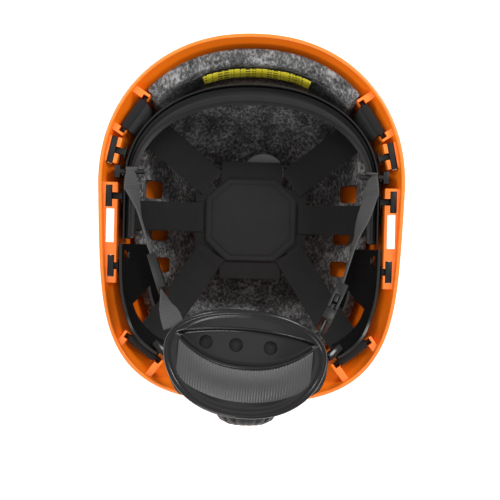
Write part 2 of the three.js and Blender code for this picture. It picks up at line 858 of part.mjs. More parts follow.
function makeRacks() {
  for (const [name, side] of sides) {
    const rack = toSolid(toothedStrip(side)).add(toSolid(rackArm(side)));
    add(`rack_${name}`, toGeometry(rack), 'black');
    const along = v(side * -0.6, 0.55, 0.45);
    const middle = v(side * lugAcross, sideBandEnd - 2, rimHeight - 1.4);
    const lug = toSolid(block(middle, along, upright, 15, 6, 9));
    add(`rack_lug_${name}`, toGeometry(lug.subtract(toSolid(sideBandSpace(side)))), 'gloss');
  }
}

// Room for a side band's end inside the lug.
function sideBandSpace(side) {
  const steps = [bandSteps - 5, bandSteps - 2, bandSteps, bandSteps + 1];
  return loft(steps.map((k) => bandRing(side, k, [-fit, sideBandThick + fit], [-30, 30])));
}

function roundedBox(width, tall, radius) {
  const shape = new THREE.Shape();
  const x = width / 2;
  const y = tall / 2;
  shape.moveTo(-x + radius, -y);
  shape.lineTo(x - radius, -y);
  shape.absarc(x - radius, -y + radius, radius, -Math.PI / 2, 0, false);
  shape.lineTo(x, y - radius);
  shape.absarc(x - radius, y - radius, radius, 0, Math.PI / 2, false);
  shape.lineTo(-x + radius, y);
  shape.absarc(-x + radius, y - radius, radius, Math.PI / 2, Math.PI, false);
  shape.lineTo(-x, -y + radius);
  shape.absarc(-x + radius, -y + radius, radius, Math.PI, 1.5 * Math.PI, false);
  return shape;
}

// A plate that stands upright across Y, from one Y to another.
function standing(shape, fromY, toY, curveSegments = 5) {
  const settings = { depth: toY - fromY, bevelEnabled: false, curveSegments };
  const geometry = new THREE.ExtrudeGeometry(shape, settings);
  return geometry.rotateX(Math.PI / 2).translate(0, toY, housingZ);
}

function gearShape() {
  const shape = new THREE.Shape();
  const root = pitchRadius - 1.25 * gearModule;
  const tip = pitchRadius + 0.6 * gearModule;
  const step = (2 * Math.PI) / toothCount;
  const at = (radius, angle) => [radius * Math.cos(angle), radius * Math.sin(angle)];
  for (let n = 0; n < toothCount; n += 1) {
    const middle = Math.PI / 2 + n * step;
    const corners = [[root, -0.27], [tip, -0.1], [tip, 0.1], [root, 0.27]];
    corners.forEach(([radius, share], k) => {
      const point = at(radius, middle + share * step);
      if (n === 0 && k === 0) shape.moveTo(...point);
      else shape.lineTo(...point);
    });
  }
  shape.closePath();
  const bore = new THREE.Path();
  bore.absarc(0, 0, shaftRadius + fit, 0, 2 * Math.PI, true);
  shape.holes.push(bore);
  return shape;
}

const knobProfile = [[0, 1], [0.45, 1], [0.8, 0.84], [1, 0.62]]; // depth and radius, as shares

function knobRing(y, share) {
  const steps = fluteCount * 6;
  return Array.from({ length: steps }, (_, n) => {
    const angle = (2 * Math.PI * n) / steps;
    const dip = Math.max(0, Math.cos(angle * fluteCount)) ** 2;
    const radius = (knobRadius - 1.8 * dip) * share;
    return v(radius * Math.cos(angle), y, housingZ + radius * Math.sin(angle));
  });
}

// A rod on the knob's axis, between two places along Y.
function axle(fromY, toY, radius, sides = 16) {
  return rod(v(0, fromY, housingZ), v(0, toY, housingZ), radius, sides);
}

function makeRatchet() {
  const channelY = housingY + 5.5;
  const channelTall = 2 * (pitchRadius + 1.25 + rackTall + 0.8);
  const outerY = channelY + channelDeep - 5.2;
  const body = standing(roundedBox(housingWidth, housingTall, 10), housingY, outerY);
  const room = block(v(0, channelY + 10, housingZ), v(1, 0), upright, housingWidth + 4, 20,
    channelTall);
  const shaftHole = axle(housingY + 2, outerY, shaftRadius + fit);
  const housing = toSolid(body).subtract(toSolid(room)).subtract(toSolid(shaftHole));
  add('nape_housing', toGeometry(housing), 'black');
  const coverY = outerY + fit;
  const coverShape = roundedBox(housingWidth, housingTall, 10);
  const cover = toSolid(standing(coverShape, coverY, coverY + coverThick));
  const knobY = coverY + coverThick + 1;
  const coverHole = toSolid(axle(coverY - 2, knobY + 2, shaftRadius + 1));
  add('housing_cover', toGeometry(cover.subtract(coverHole)), 'black');
  const settings = { depth: rackThick, bevelEnabled: false, curveSegments: 8 };
  const pinion = new THREE.ExtrudeGeometry(gearShape(), settings);
  pinion.rotateX(Math.PI / 2).translate(0, channelY + 1 + rackThick, housingZ);
  add('pinion', pinion, 'grey');
  const wheel = toSolid(loft(knobProfile.map(([deep, share]) => (
    knobRing(knobY + knobThick * deep, share)))));
  const shaft = toSolid(axle(housingY + 3, knobY + 3, shaftRadius));
  const knobEnd = knobY + knobThick;
  const recess = toSolid(axle(knobEnd - 3, knobEnd + 2, 6.3));
  add('adjuster_knob', toGeometry(wheel.add(shaft).subtract(recess)), 'gloss');
  const screwY = knobEnd - 3 + fit;
  add('knob_screw', axle(screwY, screwY + 2, 5.5, 20), 'steel');
  const padShape = roundedBox(housingWidth + 8, housingTall + 2, 12);
  add('nape_pad', standing(padShape, housingY - fit - 8, housingY - fit), 'pad');
}

// ---------- chin strap ----------
const webLead = 13; // from an anchor's bar to where its web runs straight
const anchorWall = insideAt(v(0, anchorY), v(1, 0), anchorZ - 20);
const anchorAcross = anchorWall - anchorFoot - anchorClear - chinWebWidth / 2;
const runStart = (side) => v(side * (anchorAcross - 1.5), anchorY + webLead + 2, anchorZ + 8);
const buckleStart = v(-66.5, 51, 183);
const sliderRun = [runStart(1), v(52.5, 80, 204)];
const socketRun = [runStart(-1), buckleStart];
const buckleRun = [buckleStart, v(-51.5, 81, 201.2)];
const webTilt = (side) => v(side * 0.12, -0.45, 1);

const lowerTilt = v(0.8, 0.55, 0.2); // the slider's web turns flat before the cup

function directionOf([from, to]) {
  return to.clone().sub(from).normalize();
}

function anchorPlate(side) {
  const footThick = 4;
  const middle = v(side * (anchorWall - anchorFoot + footThick / 2), anchorY, anchorZ - 8);
  const foot = block(middle, v(0, 1), upright, 9, footThick, 20);
  const from = v(side * (anchorWall - anchorFoot + 1), anchorY, anchorZ);
  const end = v(side * (anchorAcross - chinWebWidth / 2 - 2), anchorY, anchorZ);
  return toSolid(foot).add(toSolid(rod(from, end, anchorBar, 12)));
}

// The web's end goes round the anchor's bar, then the web turns on edge and runs straight.
function chinWeb(side, run, start, end) {
  const loop = anchorBar + fit + chinWebThick / 2;
  const turns = 8;
  const round = Array.from({ length: turns + 1 }, (_, k) => {
    const angle = -0.2 * Math.PI - (1.3 * Math.PI * k) / turns;
    return v(side * anchorAcross, anchorY + loop * Math.cos(angle), anchorZ + loop * Math.sin(angle));
  });
  const straight = evenly(run, 14);
  const rise = round[turns].clone().lerp(straight[0], 0.5).add(v(0, 0, 2.4));
  const path = [...round, rise, ...straight];
  const tilt = webTilt(side);
  const across = (share) => v(1, 0).lerp(tilt, step01(share, start, end))
    .lerp(lowerTilt, side > 0 ? step01(share, 0.89, 1) : 0);
  return ribbon(path, across, chinWebWidth, chinWebThick);
}

// A frame of directions along a strap: along it, across it, and out of its face.
function strapFrame(run, side) {
  const along = directionOf(run);
  const tilt = webTilt(side);
  const face = along.clone().cross(tilt).normalize();
  const across = face.clone().cross(along).normalize();
  return { along, across, face };
}

function strapBlock(frame, middle, length, width, thick) {
  return toSolid(block(middle, frame.along, frame.face, length, width, thick));
}

function makeSlider() {
  const frame = strapFrame(sliderRun, 1);
  const middle = sliderRun[0].clone().lerp(sliderRun[1], 0.64);
  let slider = strapBlock(frame, middle, sliderLength, chinWebWidth + 5, 6);
  const wide = chinWebWidth + 2 * fit;
  const slot = strapBlock(frame, middle, sliderLength + 4, wide, chinWebThick + 2 * fit);
  slider = slider.subtract(slot);
  for (const along of [-7, 7]) {
    const at = middle.clone().addScaledVector(frame.along, along).addScaledVector(frame.face, 3);
    slider = slider.subtract(strapBlock(frame, at, 6, chinWebWidth - 4, 4.4));
  }
  add('strap_slider', toGeometry(slider), 'gloss');
}

function makeBuckle() {
  const frame = strapFrame(buckleRun, -1);
  const at = (along, across = 0, out = 0) => buckleRun[0].clone()
    .addScaledVector(frame.along, along)
    .addScaledVector(frame.across, across)
    .addScaledVector(frame.face, out);
  const wall = 1.7;
  const inner = buckleWidth - 2 * wall;
  const deep = buckleThick - 2 * wall;
  const start = 1.5;
  const end = start + buckleLength;
  const half = buckleLength / 2;
  const room = strapBlock(frame, at(end - half + 3), buckleLength, inner, deep);
  const windows = strapBlock(frame, at(end - 5), 14, buckleWidth + 4, deep - 0.6);
  const mouth = strapBlock(frame, at(start), 5, chinWebWidth + 2 * fit, chinWebThick + 2 * fit);
  const socket = strapBlock(frame, at(start + half), buckleLength, buckleWidth, buckleThick)
    .subtract(room).subtract(windows).subtract(mouth);
  add('buckle_socket', toGeometry(socket), 'gloss');
  const plate = strapBlock(frame, at(end - 5), 15, 5, deep - 2 * fit);
  const base = strapBlock(frame, at(end + fit + 4.4), 8.8, buckleWidth, buckleThick);
  const webSlot = strapBlock(frame, at(end + 9), 5, chinWebWidth + 2 * fit, chinWebThick + 2 * fit);
  add('buckle_tongue', toGeometry(base.add(plate).subtract(webSlot)), 'gloss');
  for (const [name, hand] of [['upper', 1], ['lower', -1]]) {
    const stem = strapBlock(frame, at(end - 7, hand * 7.2), 14, 2.4, deep - 4 * fit);
    const head = strapBlock(frame, at(end - 9, hand * 9.2), 6, 4.4, deep - 4 * fit - 0.6);
    add(`buckle_prong_${name}`, toGeometry(stem.add(head)), 'gloss');
  }
  const tail = [at(end + 7.4), at(end + 12.4)];
  add('chin_web_lower', ribbon(evenly(tail, 3), () => frame.across, chinWebWidth, chinWebThick), 'web');
}

// ---------- chin cup ----------
const cupMiddle = v(1.5, 97, 206);
const cupTurn = THREE.MathUtils.degToRad(-4);

function cupPoint(u, w, height) {
  const x = -u;
  const point = v(x, w).applyAxisAngle(upright, cupTurn);
  return v(cupMiddle.x + point.x, cupMiddle.y + point.y, cupMiddle.z + height);
}

const cupHeight = (u, w) => (
  cupRise * (1 - (u / cupHalfLength) ** 2) + 3 * (1 - (w / cupRearWidth) ** 2));

function cupEdge(angle) {
  const w = Math.sin(angle);
  const reachW = w < 0 ? cupFrontWidth : cupRearWidth;
  const u = cupHalfLength * Math.sign(Math.cos(angle)) * Math.abs(Math.cos(angle)) ** 0.9;
  return [u, reachW * w];
}

// A layer of the cup: its size as a share of the outline, its depth under the crest, its thickness.
function cupShell(size, deep, thick) {
  const around = 44;
  const rings = 6;
  const columns = Array.from({ length: around }, (_, n) => {
    const [u, w] = cupEdge((2 * Math.PI * n) / around).map((value) => value * size);
    const shares = Array.from({ length: rings }, (_, k) => 1 - k / rings);
    const top = shares.map((share) => (
      cupPoint(u * share, w * share, cupHeight(u * share, w * share) - deep)));
    const low = top.map((point) => point.clone().setZ(point.z - thick));
    return [...top.reverse(), ...low];
  });
  const crest = cupHeight(0, 0) - deep;
  return wrap(columns, cupPoint(0, 0, crest), cupPoint(0, 0, crest - thick));
}

function makeCup() {
  let cup = toSolid(cupShell(1, 0, cupWall));
  for (const u of cupHoles) {
    const hole = cupPoint(u, -8, 0);
    cup = cup.subtract(toSolid(rod(hole, hole.clone().setZ(hole.z + 40), cupHoleRadius)));
  }
  add('chin_cup', toGeometry(cup), 'gloss');
  add('cup_lining', cupShell(cupLiningShare, cupWall + fit, cupLiningThick), 'pad');
  const count = 14;
  const webbing = Array.from({ length: count + 1 }, (_, k) => {
    const u = webbingHalf * ((2 * k) / count - 1);
    const edge = cupRearWidth * Math.sqrt(1 - (u / cupHalfLength) ** 2) - webbingEdge;
    const low = 2 * fit;
    const high = low + chinWebThick;
    return [[webbingFrom, low], [edge, low], [edge, high], [webbingFrom, high]]
      .map(([at, lift]) => cupPoint(u, at, cupHeight(u, at) + lift));
  });
  add('cup_webbing', loft(webbing), 'web');
}

function makeChinStrap() {
  for (const [name, side] of sides) {
    add(`strap_anchor_${name}`, toGeometry(anchorPlate(side)), 'black');
    const from = v(side * (anchorWall - anchorFoot - fit), anchorY, anchorZ - 12);
    add(`anchor_rivet_${name}`, rod(from, from.clone().setX(from.x - side * 1), 3, 12), 'steel');
  }
  add('chin_web_right', chinWeb(1, sliderRun, 0.35, 0.48), 'web');
  add('chin_web_left', chinWeb(-1, socketRun, 0.36, 0.6), 'web');
  makeSlider();
  makeBuckle();
  makeCup();
}

// ---------- the whole helmet ----------
makeShell();
makeLiner();
makeHeadband();
makeSideBands();
makeCradle();
makeKeys();
makeRatchet();
makeRacks();
makeChinStrap();

export default group;
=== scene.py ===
# An arborist helmet lying on its crown: the looks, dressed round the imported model.
import json
import math

import bmesh
import bpy
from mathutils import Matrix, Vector

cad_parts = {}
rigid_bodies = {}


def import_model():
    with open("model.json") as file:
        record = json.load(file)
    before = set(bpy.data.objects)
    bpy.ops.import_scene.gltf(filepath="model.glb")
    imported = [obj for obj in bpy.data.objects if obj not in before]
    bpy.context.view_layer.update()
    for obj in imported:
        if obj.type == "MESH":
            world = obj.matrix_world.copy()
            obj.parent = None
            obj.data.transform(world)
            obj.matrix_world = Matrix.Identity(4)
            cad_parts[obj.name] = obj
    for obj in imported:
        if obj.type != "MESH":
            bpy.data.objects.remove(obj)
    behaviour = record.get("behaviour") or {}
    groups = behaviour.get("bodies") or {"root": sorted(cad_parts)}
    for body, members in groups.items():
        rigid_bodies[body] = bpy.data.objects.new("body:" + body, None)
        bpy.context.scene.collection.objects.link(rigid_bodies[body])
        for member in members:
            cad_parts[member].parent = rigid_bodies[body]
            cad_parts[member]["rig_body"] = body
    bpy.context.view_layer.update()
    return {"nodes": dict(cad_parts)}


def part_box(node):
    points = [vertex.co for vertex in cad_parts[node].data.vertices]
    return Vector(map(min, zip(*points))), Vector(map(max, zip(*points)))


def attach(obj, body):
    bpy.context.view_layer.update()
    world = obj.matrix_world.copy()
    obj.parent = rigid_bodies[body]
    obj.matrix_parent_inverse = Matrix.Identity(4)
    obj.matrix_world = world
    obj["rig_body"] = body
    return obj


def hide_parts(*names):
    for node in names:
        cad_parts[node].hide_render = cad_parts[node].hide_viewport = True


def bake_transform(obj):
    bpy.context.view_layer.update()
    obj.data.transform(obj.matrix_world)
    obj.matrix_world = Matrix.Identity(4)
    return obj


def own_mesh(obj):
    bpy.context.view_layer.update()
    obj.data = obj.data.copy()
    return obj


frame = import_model()
scene = bpy.context.scene
up = Vector((0, 0, 1))
mm = 0.001

# camera, floor and light

view = {
    "place": Vector((0.0, 0.0245, 0.950)),
    "lens": 76.0,
    "roll": 1.4,
    "floorSize": 6.0,
    "floorColour": (0.93, 0.93, 0.93, 1),
    "floorGlow": 0.35,
}


def makeCamera():
    data = bpy.data.cameras.new("camera")
    data.lens = view["lens"]
    data.sensor_width = 36
    data.clip_start = 0.01
    camera = bpy.data.objects.new("camera", data)
    camera.location = view["place"]
    turn = math.pi + math.radians(view["roll"])  # the front of the helmet is at the top
    camera.rotation_euler = (0, 0, turn)
    scene.collection.objects.link(camera)
    scene.camera = camera


def areaLight(name, place, aim, size, power):
    data = bpy.data.lights.new(name, "AREA")
    data.shape = "RECTANGLE"
    data.size, data.size_y = size
    data.energy = power
    lamp = bpy.data.objects.new(name, data)
    lamp.location = place
    lamp.rotation_euler = (Vector(aim) - Vector(place)).to_track_quat("-Z", "Y").to_euler()
    scene.collection.objects.link(lamp)


def makeLights():
    scene.view_settings.view_transform = "Standard"
    world = bpy.data.worlds.new("studio")
    scene.world = world
    world.use_nodes = True
    world.node_tree.nodes["Background"].inputs["Color"].default_value = (1, 1, 1, 1)
    world.node_tree.nodes["Background"].inputs["Strength"].default_value = 0.62
    areaLight("overhead", (0.1, 0.1, 1.8), (0, 0, 0.1), (1.3, 1.3), 3)
    areaLight("frontRight", (-0.7, -0.55, 0.95), (0, 0.05, 0.15), (0.4, 0.4), 9)
    areaLight("frontLeft", (0.65, -0.6, 0.95), (0, 0.05, 0.15), (0.35, 0.35), 5)
    areaLight("rear", (0.35, 0.85, 0.75), (0, 0.05, 0.15), (0.5, 0.3), 4)


def makeFloor():
    mesh = bpy.data.meshes.new("floor")
    half = view["floorSize"] / 2
    corners = [(-half, -half, 0), (half, -half, 0), (half, half, 0), (-half, half, 0)]
    mesh.from_pydata(corners, [], [(0, 1, 2, 3)])
    floor = bpy.data.objects.new("floor", mesh)
    scene.collection.objects.link(floor)
    material = bpy.data.materials.new("paleFloor")
    material.use_nodes = True
    shader = material.node_tree.nodes["Principled BSDF"]
    shader.inputs["Base Color"].default_value = view["floorColour"]
    shader.inputs["Roughness"].default_value = 0.9
    shader.inputs["Emission Color"].default_value = (1, 1, 1, 1)
    shader.inputs["Emission Strength"].default_value = view["floorGlow"]
    mesh.materials.append(material)


makeCamera()
makeLights()
makeFloor()
print("camera, light and floor are set")

# shader maths


class Wire:
    # one output socket, with the operators that build Math nodes from it
    def __init__(self, tree, socket):
        self.tree = tree
        self.socket = socket

    def maths(self, operation, *others):
        node = self.tree.nodes.new("ShaderNodeMath")
        node.operation = operation
        for slot, value in zip(node.inputs, (self, *others)):
            if isinstance(value, Wire):
                self.tree.links.new(value.socket, slot)
            else:
                slot.default_value = value
        return Wire(self.tree, node.outputs[0])

    def constant(self, value):
        node = self.tree.nodes.new("ShaderNodeValue")
        node.outputs[0].default_value = value
        return Wire(self.tree, node.outputs[0])

    def __add__(self, other):
        return self.maths("ADD", other)

    def __sub__(self, other):
        return self.maths("SUBTRACT", other)

    def __mul__(self, other):
        return self.maths("MULTIPLY", other)

    def __truediv__(self, other):
        return self.maths("DIVIDE", other)

    def __radd__(self, other):
        return self.constant(other).maths("ADD", self)

    def __rsub__(self, other):
        return self.constant(other).maths("SUBTRACT", self)

    def __rmul__(self, other):
        return self.constant(other).maths("MULTIPLY", self)

    def sine(self):
        return self.maths("SINE")

    def power(self, exponent):
        return self.maths("POWER", exponent)

    def above(self, level):
        return self.maths("GREATER_THAN", level)

    def most(self, other):
        return self.maths("MAXIMUM", other)

    def least(self, other):
        return self.maths("MINIMUM", other)


class Finish:
    # a material with one Principled shader, fed by procedural nodes
    def __init__(self, name, colour, roughness, **extra):
        self.material = bpy.data.materials.new(name)
        self.material.use_nodes = True
        self.tree = self.material.node_tree
        self.shader = self.tree.nodes["Principled BSDF"]
        self.set("Base Color", (*colour, 1))
        self.set("Specular IOR Level", 0.5)
        self.set("Roughness", roughness)
        for key, value in extra.items():
            self.set(key, value)

    def set(self, name, value):
        slot = self.shader.inputs[name]
        if isinstance(value, Wire):
            self.tree.links.new(value.socket, slot)
        else:
            slot.default_value = value

    def node(self, kind, settings=None, **inputs):
        node = self.tree.nodes.new(kind)
        for key, value in (settings or {}).items():
            if key == "stops":
                for n, (place, colour) in enumerate(value):
                    ramp = node.color_ramp.elements
                    stop = ramp[n] if n < len(ramp) else ramp.new(place)
                    stop.position = place
                    stop.color = colour
            else:
                setattr(node, key, value)
        for key, value in inputs.items():
            slot = node.inputs[int(key[1:]) if key[1:].isdigit() else key.replace("_", " ")]
            if isinstance(value, Wire):
                self.tree.links.new(value.socket, slot)
            else:
                slot.default_value = value
        return node

    def wire(self, node, output=0):
        return Wire(self.tree, node.outputs[output])

    def place(self):
        return self.wire(self.node("ShaderNodeTexCoord"), "Object")

    def along(self, direction):
        dot = self.node("ShaderNodeVectorMath", {"operation": "DOT_PRODUCT"},
                        i0=self.place(), i1=direction)
        return self.wire(dot, "Value")

    def grain(self, scale, detail=2.0, roughness=0.5, stretch=None):
        where = self.place()
        if stretch:
            scaled = self.node("ShaderNodeVectorMath", {"operation": "MULTIPLY"}, i0=where, i1=stretch)
            where = self.wire(scaled)
        noiseNode = self.node("ShaderNodeTexNoise", Vector=where, Scale=scale, Detail=detail,
                              Roughness=roughness)
        return self.wire(noiseNode, "Fac")

    def cells(self, scale):
        return self.wire(self.node("ShaderNodeTexVoronoi", Vector=self.place(), Scale=scale), "Distance")

    def ramp(self, value, stops):
        return self.wire(self.node("ShaderNodeValToRGB", {"stops": stops}, Fac=value))

    def mix(self, share, first, second):
        node = self.node("ShaderNodeMix", {"data_type": "RGBA"}, i0=share, i6=first, i7=second)
        return self.wire(node, 2)

    def bump(self, height, strength, distance):
        return self.wire(self.node("ShaderNodeBump", Height=height, Strength=strength,
                                   Distance=distance))

    def edges(self, radius=0.0012):
        # light on worn convex edges
        bevel = self.node("ShaderNodeBevel", {"samples": 4}, Radius=radius)
        plain = self.node("ShaderNodeNewGeometry")
        dot = self.node("ShaderNodeVectorMath", {"operation": "DOT_PRODUCT"},
                        i0=self.wire(bevel), i1=self.wire(plain, "Normal"))
        return 1 - self.wire(dot, "Value")


def grey(value):
    return (value, value, value, 1)


def orangeShell():
    finish = Finish("orangeShell", (1.0, 0.16, 0.006), 0.3)
    wide = finish.grain(9, 3)
    fine = finish.grain(900, 2)
    scuffs = finish.grain(60, 6, 0.7, (1, 3, 1))
    colour = finish.mix(wide, (1.0, 0.17, 0.004, 1), (1.0, 0.22, 0.008, 1))
    worn = finish.edges().above(0.02) * (scuffs - 0.42).most(0) * 3
    finish.set("Base Color", finish.mix(worn.least(0.5), colour, (1.0, 0.38, 0.12, 1)))
    finish.set("Roughness", 0.26 + scuffs * 0.16)
    finish.set("Coat Weight", 0.15)
    finish.set("Coat Roughness", 0.15)
    finish.set("Normal", finish.bump(fine + wide * 2, 0.12, 0.0003))
    return finish.material


def speckledFoam():
    finish = Finish("speckledFoam", (0.06, 0.06, 0.06), 0.9)
    fibres = finish.grain(640, 5, 0.75, (1, 0.55, 1))
    patches = finish.grain(55, 3, 0.6)
    beads = finish.cells(330)
    tone = (fibres * 0.75 + patches * 0.35 + beads * 0.18)
    finish.set("Base Color", finish.ramp(tone, [
        (0.44, grey(0.012)), (0.55, grey(0.04)), (0.65, grey(0.1)), (0.78, grey(0.3))]))
    finish.set("Specular IOR Level", 0.2)
    finish.set("Roughness", 0.75 + fibres * 0.2)
    finish.set("Normal", finish.bump(fibres + beads * 0.5, 0.7, 0.0012))
    return finish.material


def blackPlastic(name="blackPlastic", tone=0.012, roughness=0.42, coat=0.0, shine=0.35):
    finish = Finish(name, (tone, tone, tone), roughness)
    fine = finish.grain(1400, 3)
    wide = finish.grain(30, 4, 0.6)
    rubbed = (finish.edges(0.0008) * 2.2).least(0.18) * wide
    finish.set("Base Color", finish.mix(rubbed + wide * 0.1, grey(tone), grey(tone + 0.05)))
    finish.set("Roughness", roughness - 0.06 + wide * 0.14)
    finish.set("Normal", finish.bump(fine, 0.25, 0.0002))
    finish.set("Specular IOR Level", shine)
    finish.set("Coat Weight", coat)
    finish.set("Coat Roughness", 0.08)
    return finish.material


def wovenWeb(name, tone=0.011, ribs=1.5, threads=1.1, fuzziness=0.5, shine=0.2, roughness=0.78):
    # strapPlace holds how far a point is along and across its strap, in millimetres
    finish = Finish(name, (tone, tone, tone), 0.85)
    place = finish.node("ShaderNodeAttribute", {"attribute_name": "strapPlace"})
    parts = finish.node("ShaderNodeSeparateXYZ", None, Vector=finish.wire(place, "Vector"))
    rows = (finish.wire(parts, 0) * (2 * math.pi / ribs)).sine()
    columns = (finish.wire(parts, 1) * (2 * math.pi / threads)).sine()
    weave = rows * columns * 0.5 + rows * 0.5
    fuzz = finish.grain(1500, 3, 0.6)
    dust = finish.grain(70, 4, 0.6)
    tones = weave * 0.22 + fuzz * fuzziness + dust * 0.25
    finish.set("Base Color", finish.mix(tones, grey(tone * 0.55), grey(tone * 2.6)))
    finish.set("Roughness", roughness + fuzz * 0.15)
    finish.set("Specular IOR Level", shine)
    finish.set("Sheen Weight", 0.08)
    finish.set("Sheen Roughness", 0.5)
    finish.set("Normal", finish.bump(weave + fuzz * 0.6, 0.5, 0.0004))
    return finish.material


def brushedPad():
    tone = 0.011
    finish = Finish("brushedPad", (tone, tone, tone), 0.9)
    nap = finish.grain(1100, 4, 0.7)
    cells = finish.cells(850)
    wide = finish.grain(40, 3)
    finish.set("Base Color", finish.mix(nap * 0.6 + wide * 0.4, grey(tone * 0.6), grey(tone * 2.3)))
    finish.set("Specular IOR Level", 0.2)
    finish.set("Sheen Weight", 0.1)
    finish.set("Sheen Roughness", 0.45)
    finish.set("Roughness", 0.82 + nap * 0.12)
    finish.set("Normal", finish.bump(nap + cells, 0.4, 0.0004))
    return finish.material


def platedSteel():
    finish = Finish("platedSteel", (0.5, 0.5, 0.51), 0.3, Metallic=1.0)
    lines = finish.grain(800, 3, 0.6, (1, 1, 8))
    finish.set("Roughness", 0.22 + lines * 0.25)
    finish.set("Normal", finish.bump(lines, 0.15, 0.0002))
    return finish.material


def printedLabel():
    finish = Finish("printedLabel", (0.8, 0.68, 0.03), 0.45)
    across = finish.along((1, 0, 0))
    high = finish.along((0, 0, 1))
    marks = (across * 1900).sine() * (across * 730).sine() + (across * 340).sine() * 0.5
    line = (high * 1500).sine()
    ink = marks.above(0.12) * line.above(0.35)
    smudge = finish.grain(45, 3)
    paper = finish.mix(smudge, (0.72, 0.6, 0.02, 1), (0.88, 0.78, 0.06, 1))
    finish.set("Base Color", finish.mix(ink, paper, grey(0.02)))
    finish.set("Roughness", 0.35 + smudge * 0.2)
    return finish.material


finishes = {
    "orange": orangeShell(),
    "foam": speckledFoam(),
    "plastic": blackPlastic(tone=0.007, shine=0.25),
    "gloss": blackPlastic("glossBlack", 0.003, 0.2, 0.12, 0.3),
    "grey": blackPlastic("greyPlastic", 0.3, 0.5),
    "pad": brushedPad(),
    "web": wovenWeb("cradleWebbing", 0.009),
    "chinWeb": wovenWeb("chinWebbing", 0.05),
    "cupWeb": wovenWeb("cupWebbing", 0.032, 1.9, 1.3, 0.35, 0.6, 0.34),
    "steel": platedSteel(),
    "label": printedLabel(),
}
print("finishes are mixed")

# meshes, worked out in millimetres


def boxOf(node):
    return [corner * 1000 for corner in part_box(node)]


def middleOf(node):
    low, high = boxOf(node)
    return (low + high) / 2


def bodyOf(node):
    return frame["nodes"][node]["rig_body"]


def tidyMesh(mesh, angle):
    work = bmesh.new()
    work.from_mesh(mesh)
    bmesh.ops.remove_doubles(work, verts=work.verts, dist=2e-6)
    bmesh.ops.recalc_face_normals(work, faces=work.faces)
    work.to_mesh(mesh)
    work.free()
    mesh.shade_smooth()
    mesh.set_sharp_from_angle(angle=math.radians(angle))


def newPiece(name, points, faces, finish, angle=40):
    mesh = bpy.data.meshes.new(name)
    mesh.from_pydata([Vector(point) * mm for point in points], [], faces)
    tidyMesh(mesh, angle)
    mesh.materials.append(finishes[finish])
    piece = bpy.data.objects.new(name, mesh)
    scene.collection.objects.link(piece)
    return piece


def applyAll(piece, angle=40):
    # the piece's modifiers, worked into its mesh
    graph = bpy.context.evaluated_depsgraph_get()
    done = bpy.data.meshes.new_from_object(piece.evaluated_get(graph))
    before = piece.data
    piece.modifiers.clear()
    piece.data = done
    bpy.data.meshes.remove(before)
    tidyMesh(piece.data, angle)
    return piece


def soften(piece, width):
    bevel = piece.modifiers.new("edges", "BEVEL")
    bevel.width = width * mm
    bevel.segments = 2
    bevel.limit_method = "ANGLE"
    bevel.angle_limit = math.radians(30)
    return applyAll(piece)


def carve(piece, other, operation="DIFFERENCE"):
    step = piece.modifiers.new(operation, "BOOLEAN")
    step.operation = operation
    step.solver = "EXACT"
    step.object = other
    applyAll(piece)
    bpy.data.objects.remove(other)
    return piece


def dress(piece, finish, *nodes, body=None):
    # the piece stands for the nodes and moves with their body
    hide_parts(*nodes)
    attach(piece, body or bodyOf(nodes[0]))
    return piece


def loft(rings):
    # rings of equal count joined one to the next, capped at both ends
    count = len(rings[0])
    points = [point for ring in rings for point in ring]
    faces = []
    for r in range(len(rings) - 1):
        for k in range(count):
            a = r * count + k
            b = r * count + (k + 1) % count
            faces.append((a, b, b + count, a + count))
    faces.append(tuple(range(count - 1, -1, -1)))
    faces.append(tuple(range(len(points) - count, len(points))))
    return points, faces


def wrap(columns, startPole, endPole):
    # profiles all round an axis, between two points on it
    deep = len(columns[0])
    points = [point for column in columns for point in column]
    points += [startPole, endPole]
    first, last = len(points) - 2, len(points) - 1
    faces = []
    for c in range(len(columns)):
        here = c * deep
        beside = (c + 1) % len(columns) * deep
        faces.append((first, here, beside))
        faces.append((last, beside + deep - 1, here + deep - 1))
        for k in range(deep - 1):
            faces.append((here + k, here + k + 1, beside + k + 1, beside + k))
    return points, faces


def together(*solids):
    # several closed solids as one list of points and faces
    points, faces = [], []
    for solidPoints, solidFaces in solids:
        start = len(points)
        points += solidPoints
        faces += [tuple(start + k for k in face) for face in solidFaces]
    return points, faces


def block(middle, along, length, width, height):
    x = Vector(along).normalized()
    y = up.cross(x).normalized()
    z = x.cross(y)
    corners = []
    for dz in (-0.5, 0.5):
        for dx, dy in ((-0.5, -0.5), (0.5, -0.5), (0.5, 0.5), (-0.5, 0.5)):
            corners.append(Vector(middle) + x * dx * length + y * dy * width + z * dz * height)
    return loft([corners[:4], corners[4:]])


def rod(start, end, radius, sides=32):
    axis = (Vector(end) - Vector(start)).normalized()
    side = axis.orthogonal().normalized()
    other = axis.cross(side)
    turns = [2 * math.pi * k / sides for k in range(sides)]
    circle = [side * math.cos(t) * radius + other * math.sin(t) * radius for t in turns]
    return loft([[Vector(start) + c for c in circle], [Vector(end) + c for c in circle]])


def tube(path, radius, sides=12, closed=False):
    # a round bar along a path; radius may change along it
    rings = []
    count = len(path)
    side = None
    for k, point in enumerate(path):
        before = path[k - 1] if k or closed else path[0]
        after = path[(k + 1) % count] if k + 1 < count or closed else path[-1]
        tangent = (after - before).normalized()
        side = tangent.orthogonal() if side is None else side - tangent * side.dot(tangent)
        side.normalize()
        other = tangent.cross(side)
        size = radius(k / (count - 1)) if callable(radius) else radius
        turns = [2 * math.pi * n / sides for n in range(sides)]
        rings.append([point + side * math.cos(t) * size + other * math.sin(t) * size for t in turns])
    points, faces = loft(rings)
    if closed:
        faces = faces[:-2]
        start = (count - 1) * sides
        faces += [(start + n, start + (n + 1) % sides, (n + 1) % sides, n) for n in range(sides)]
    return points, faces


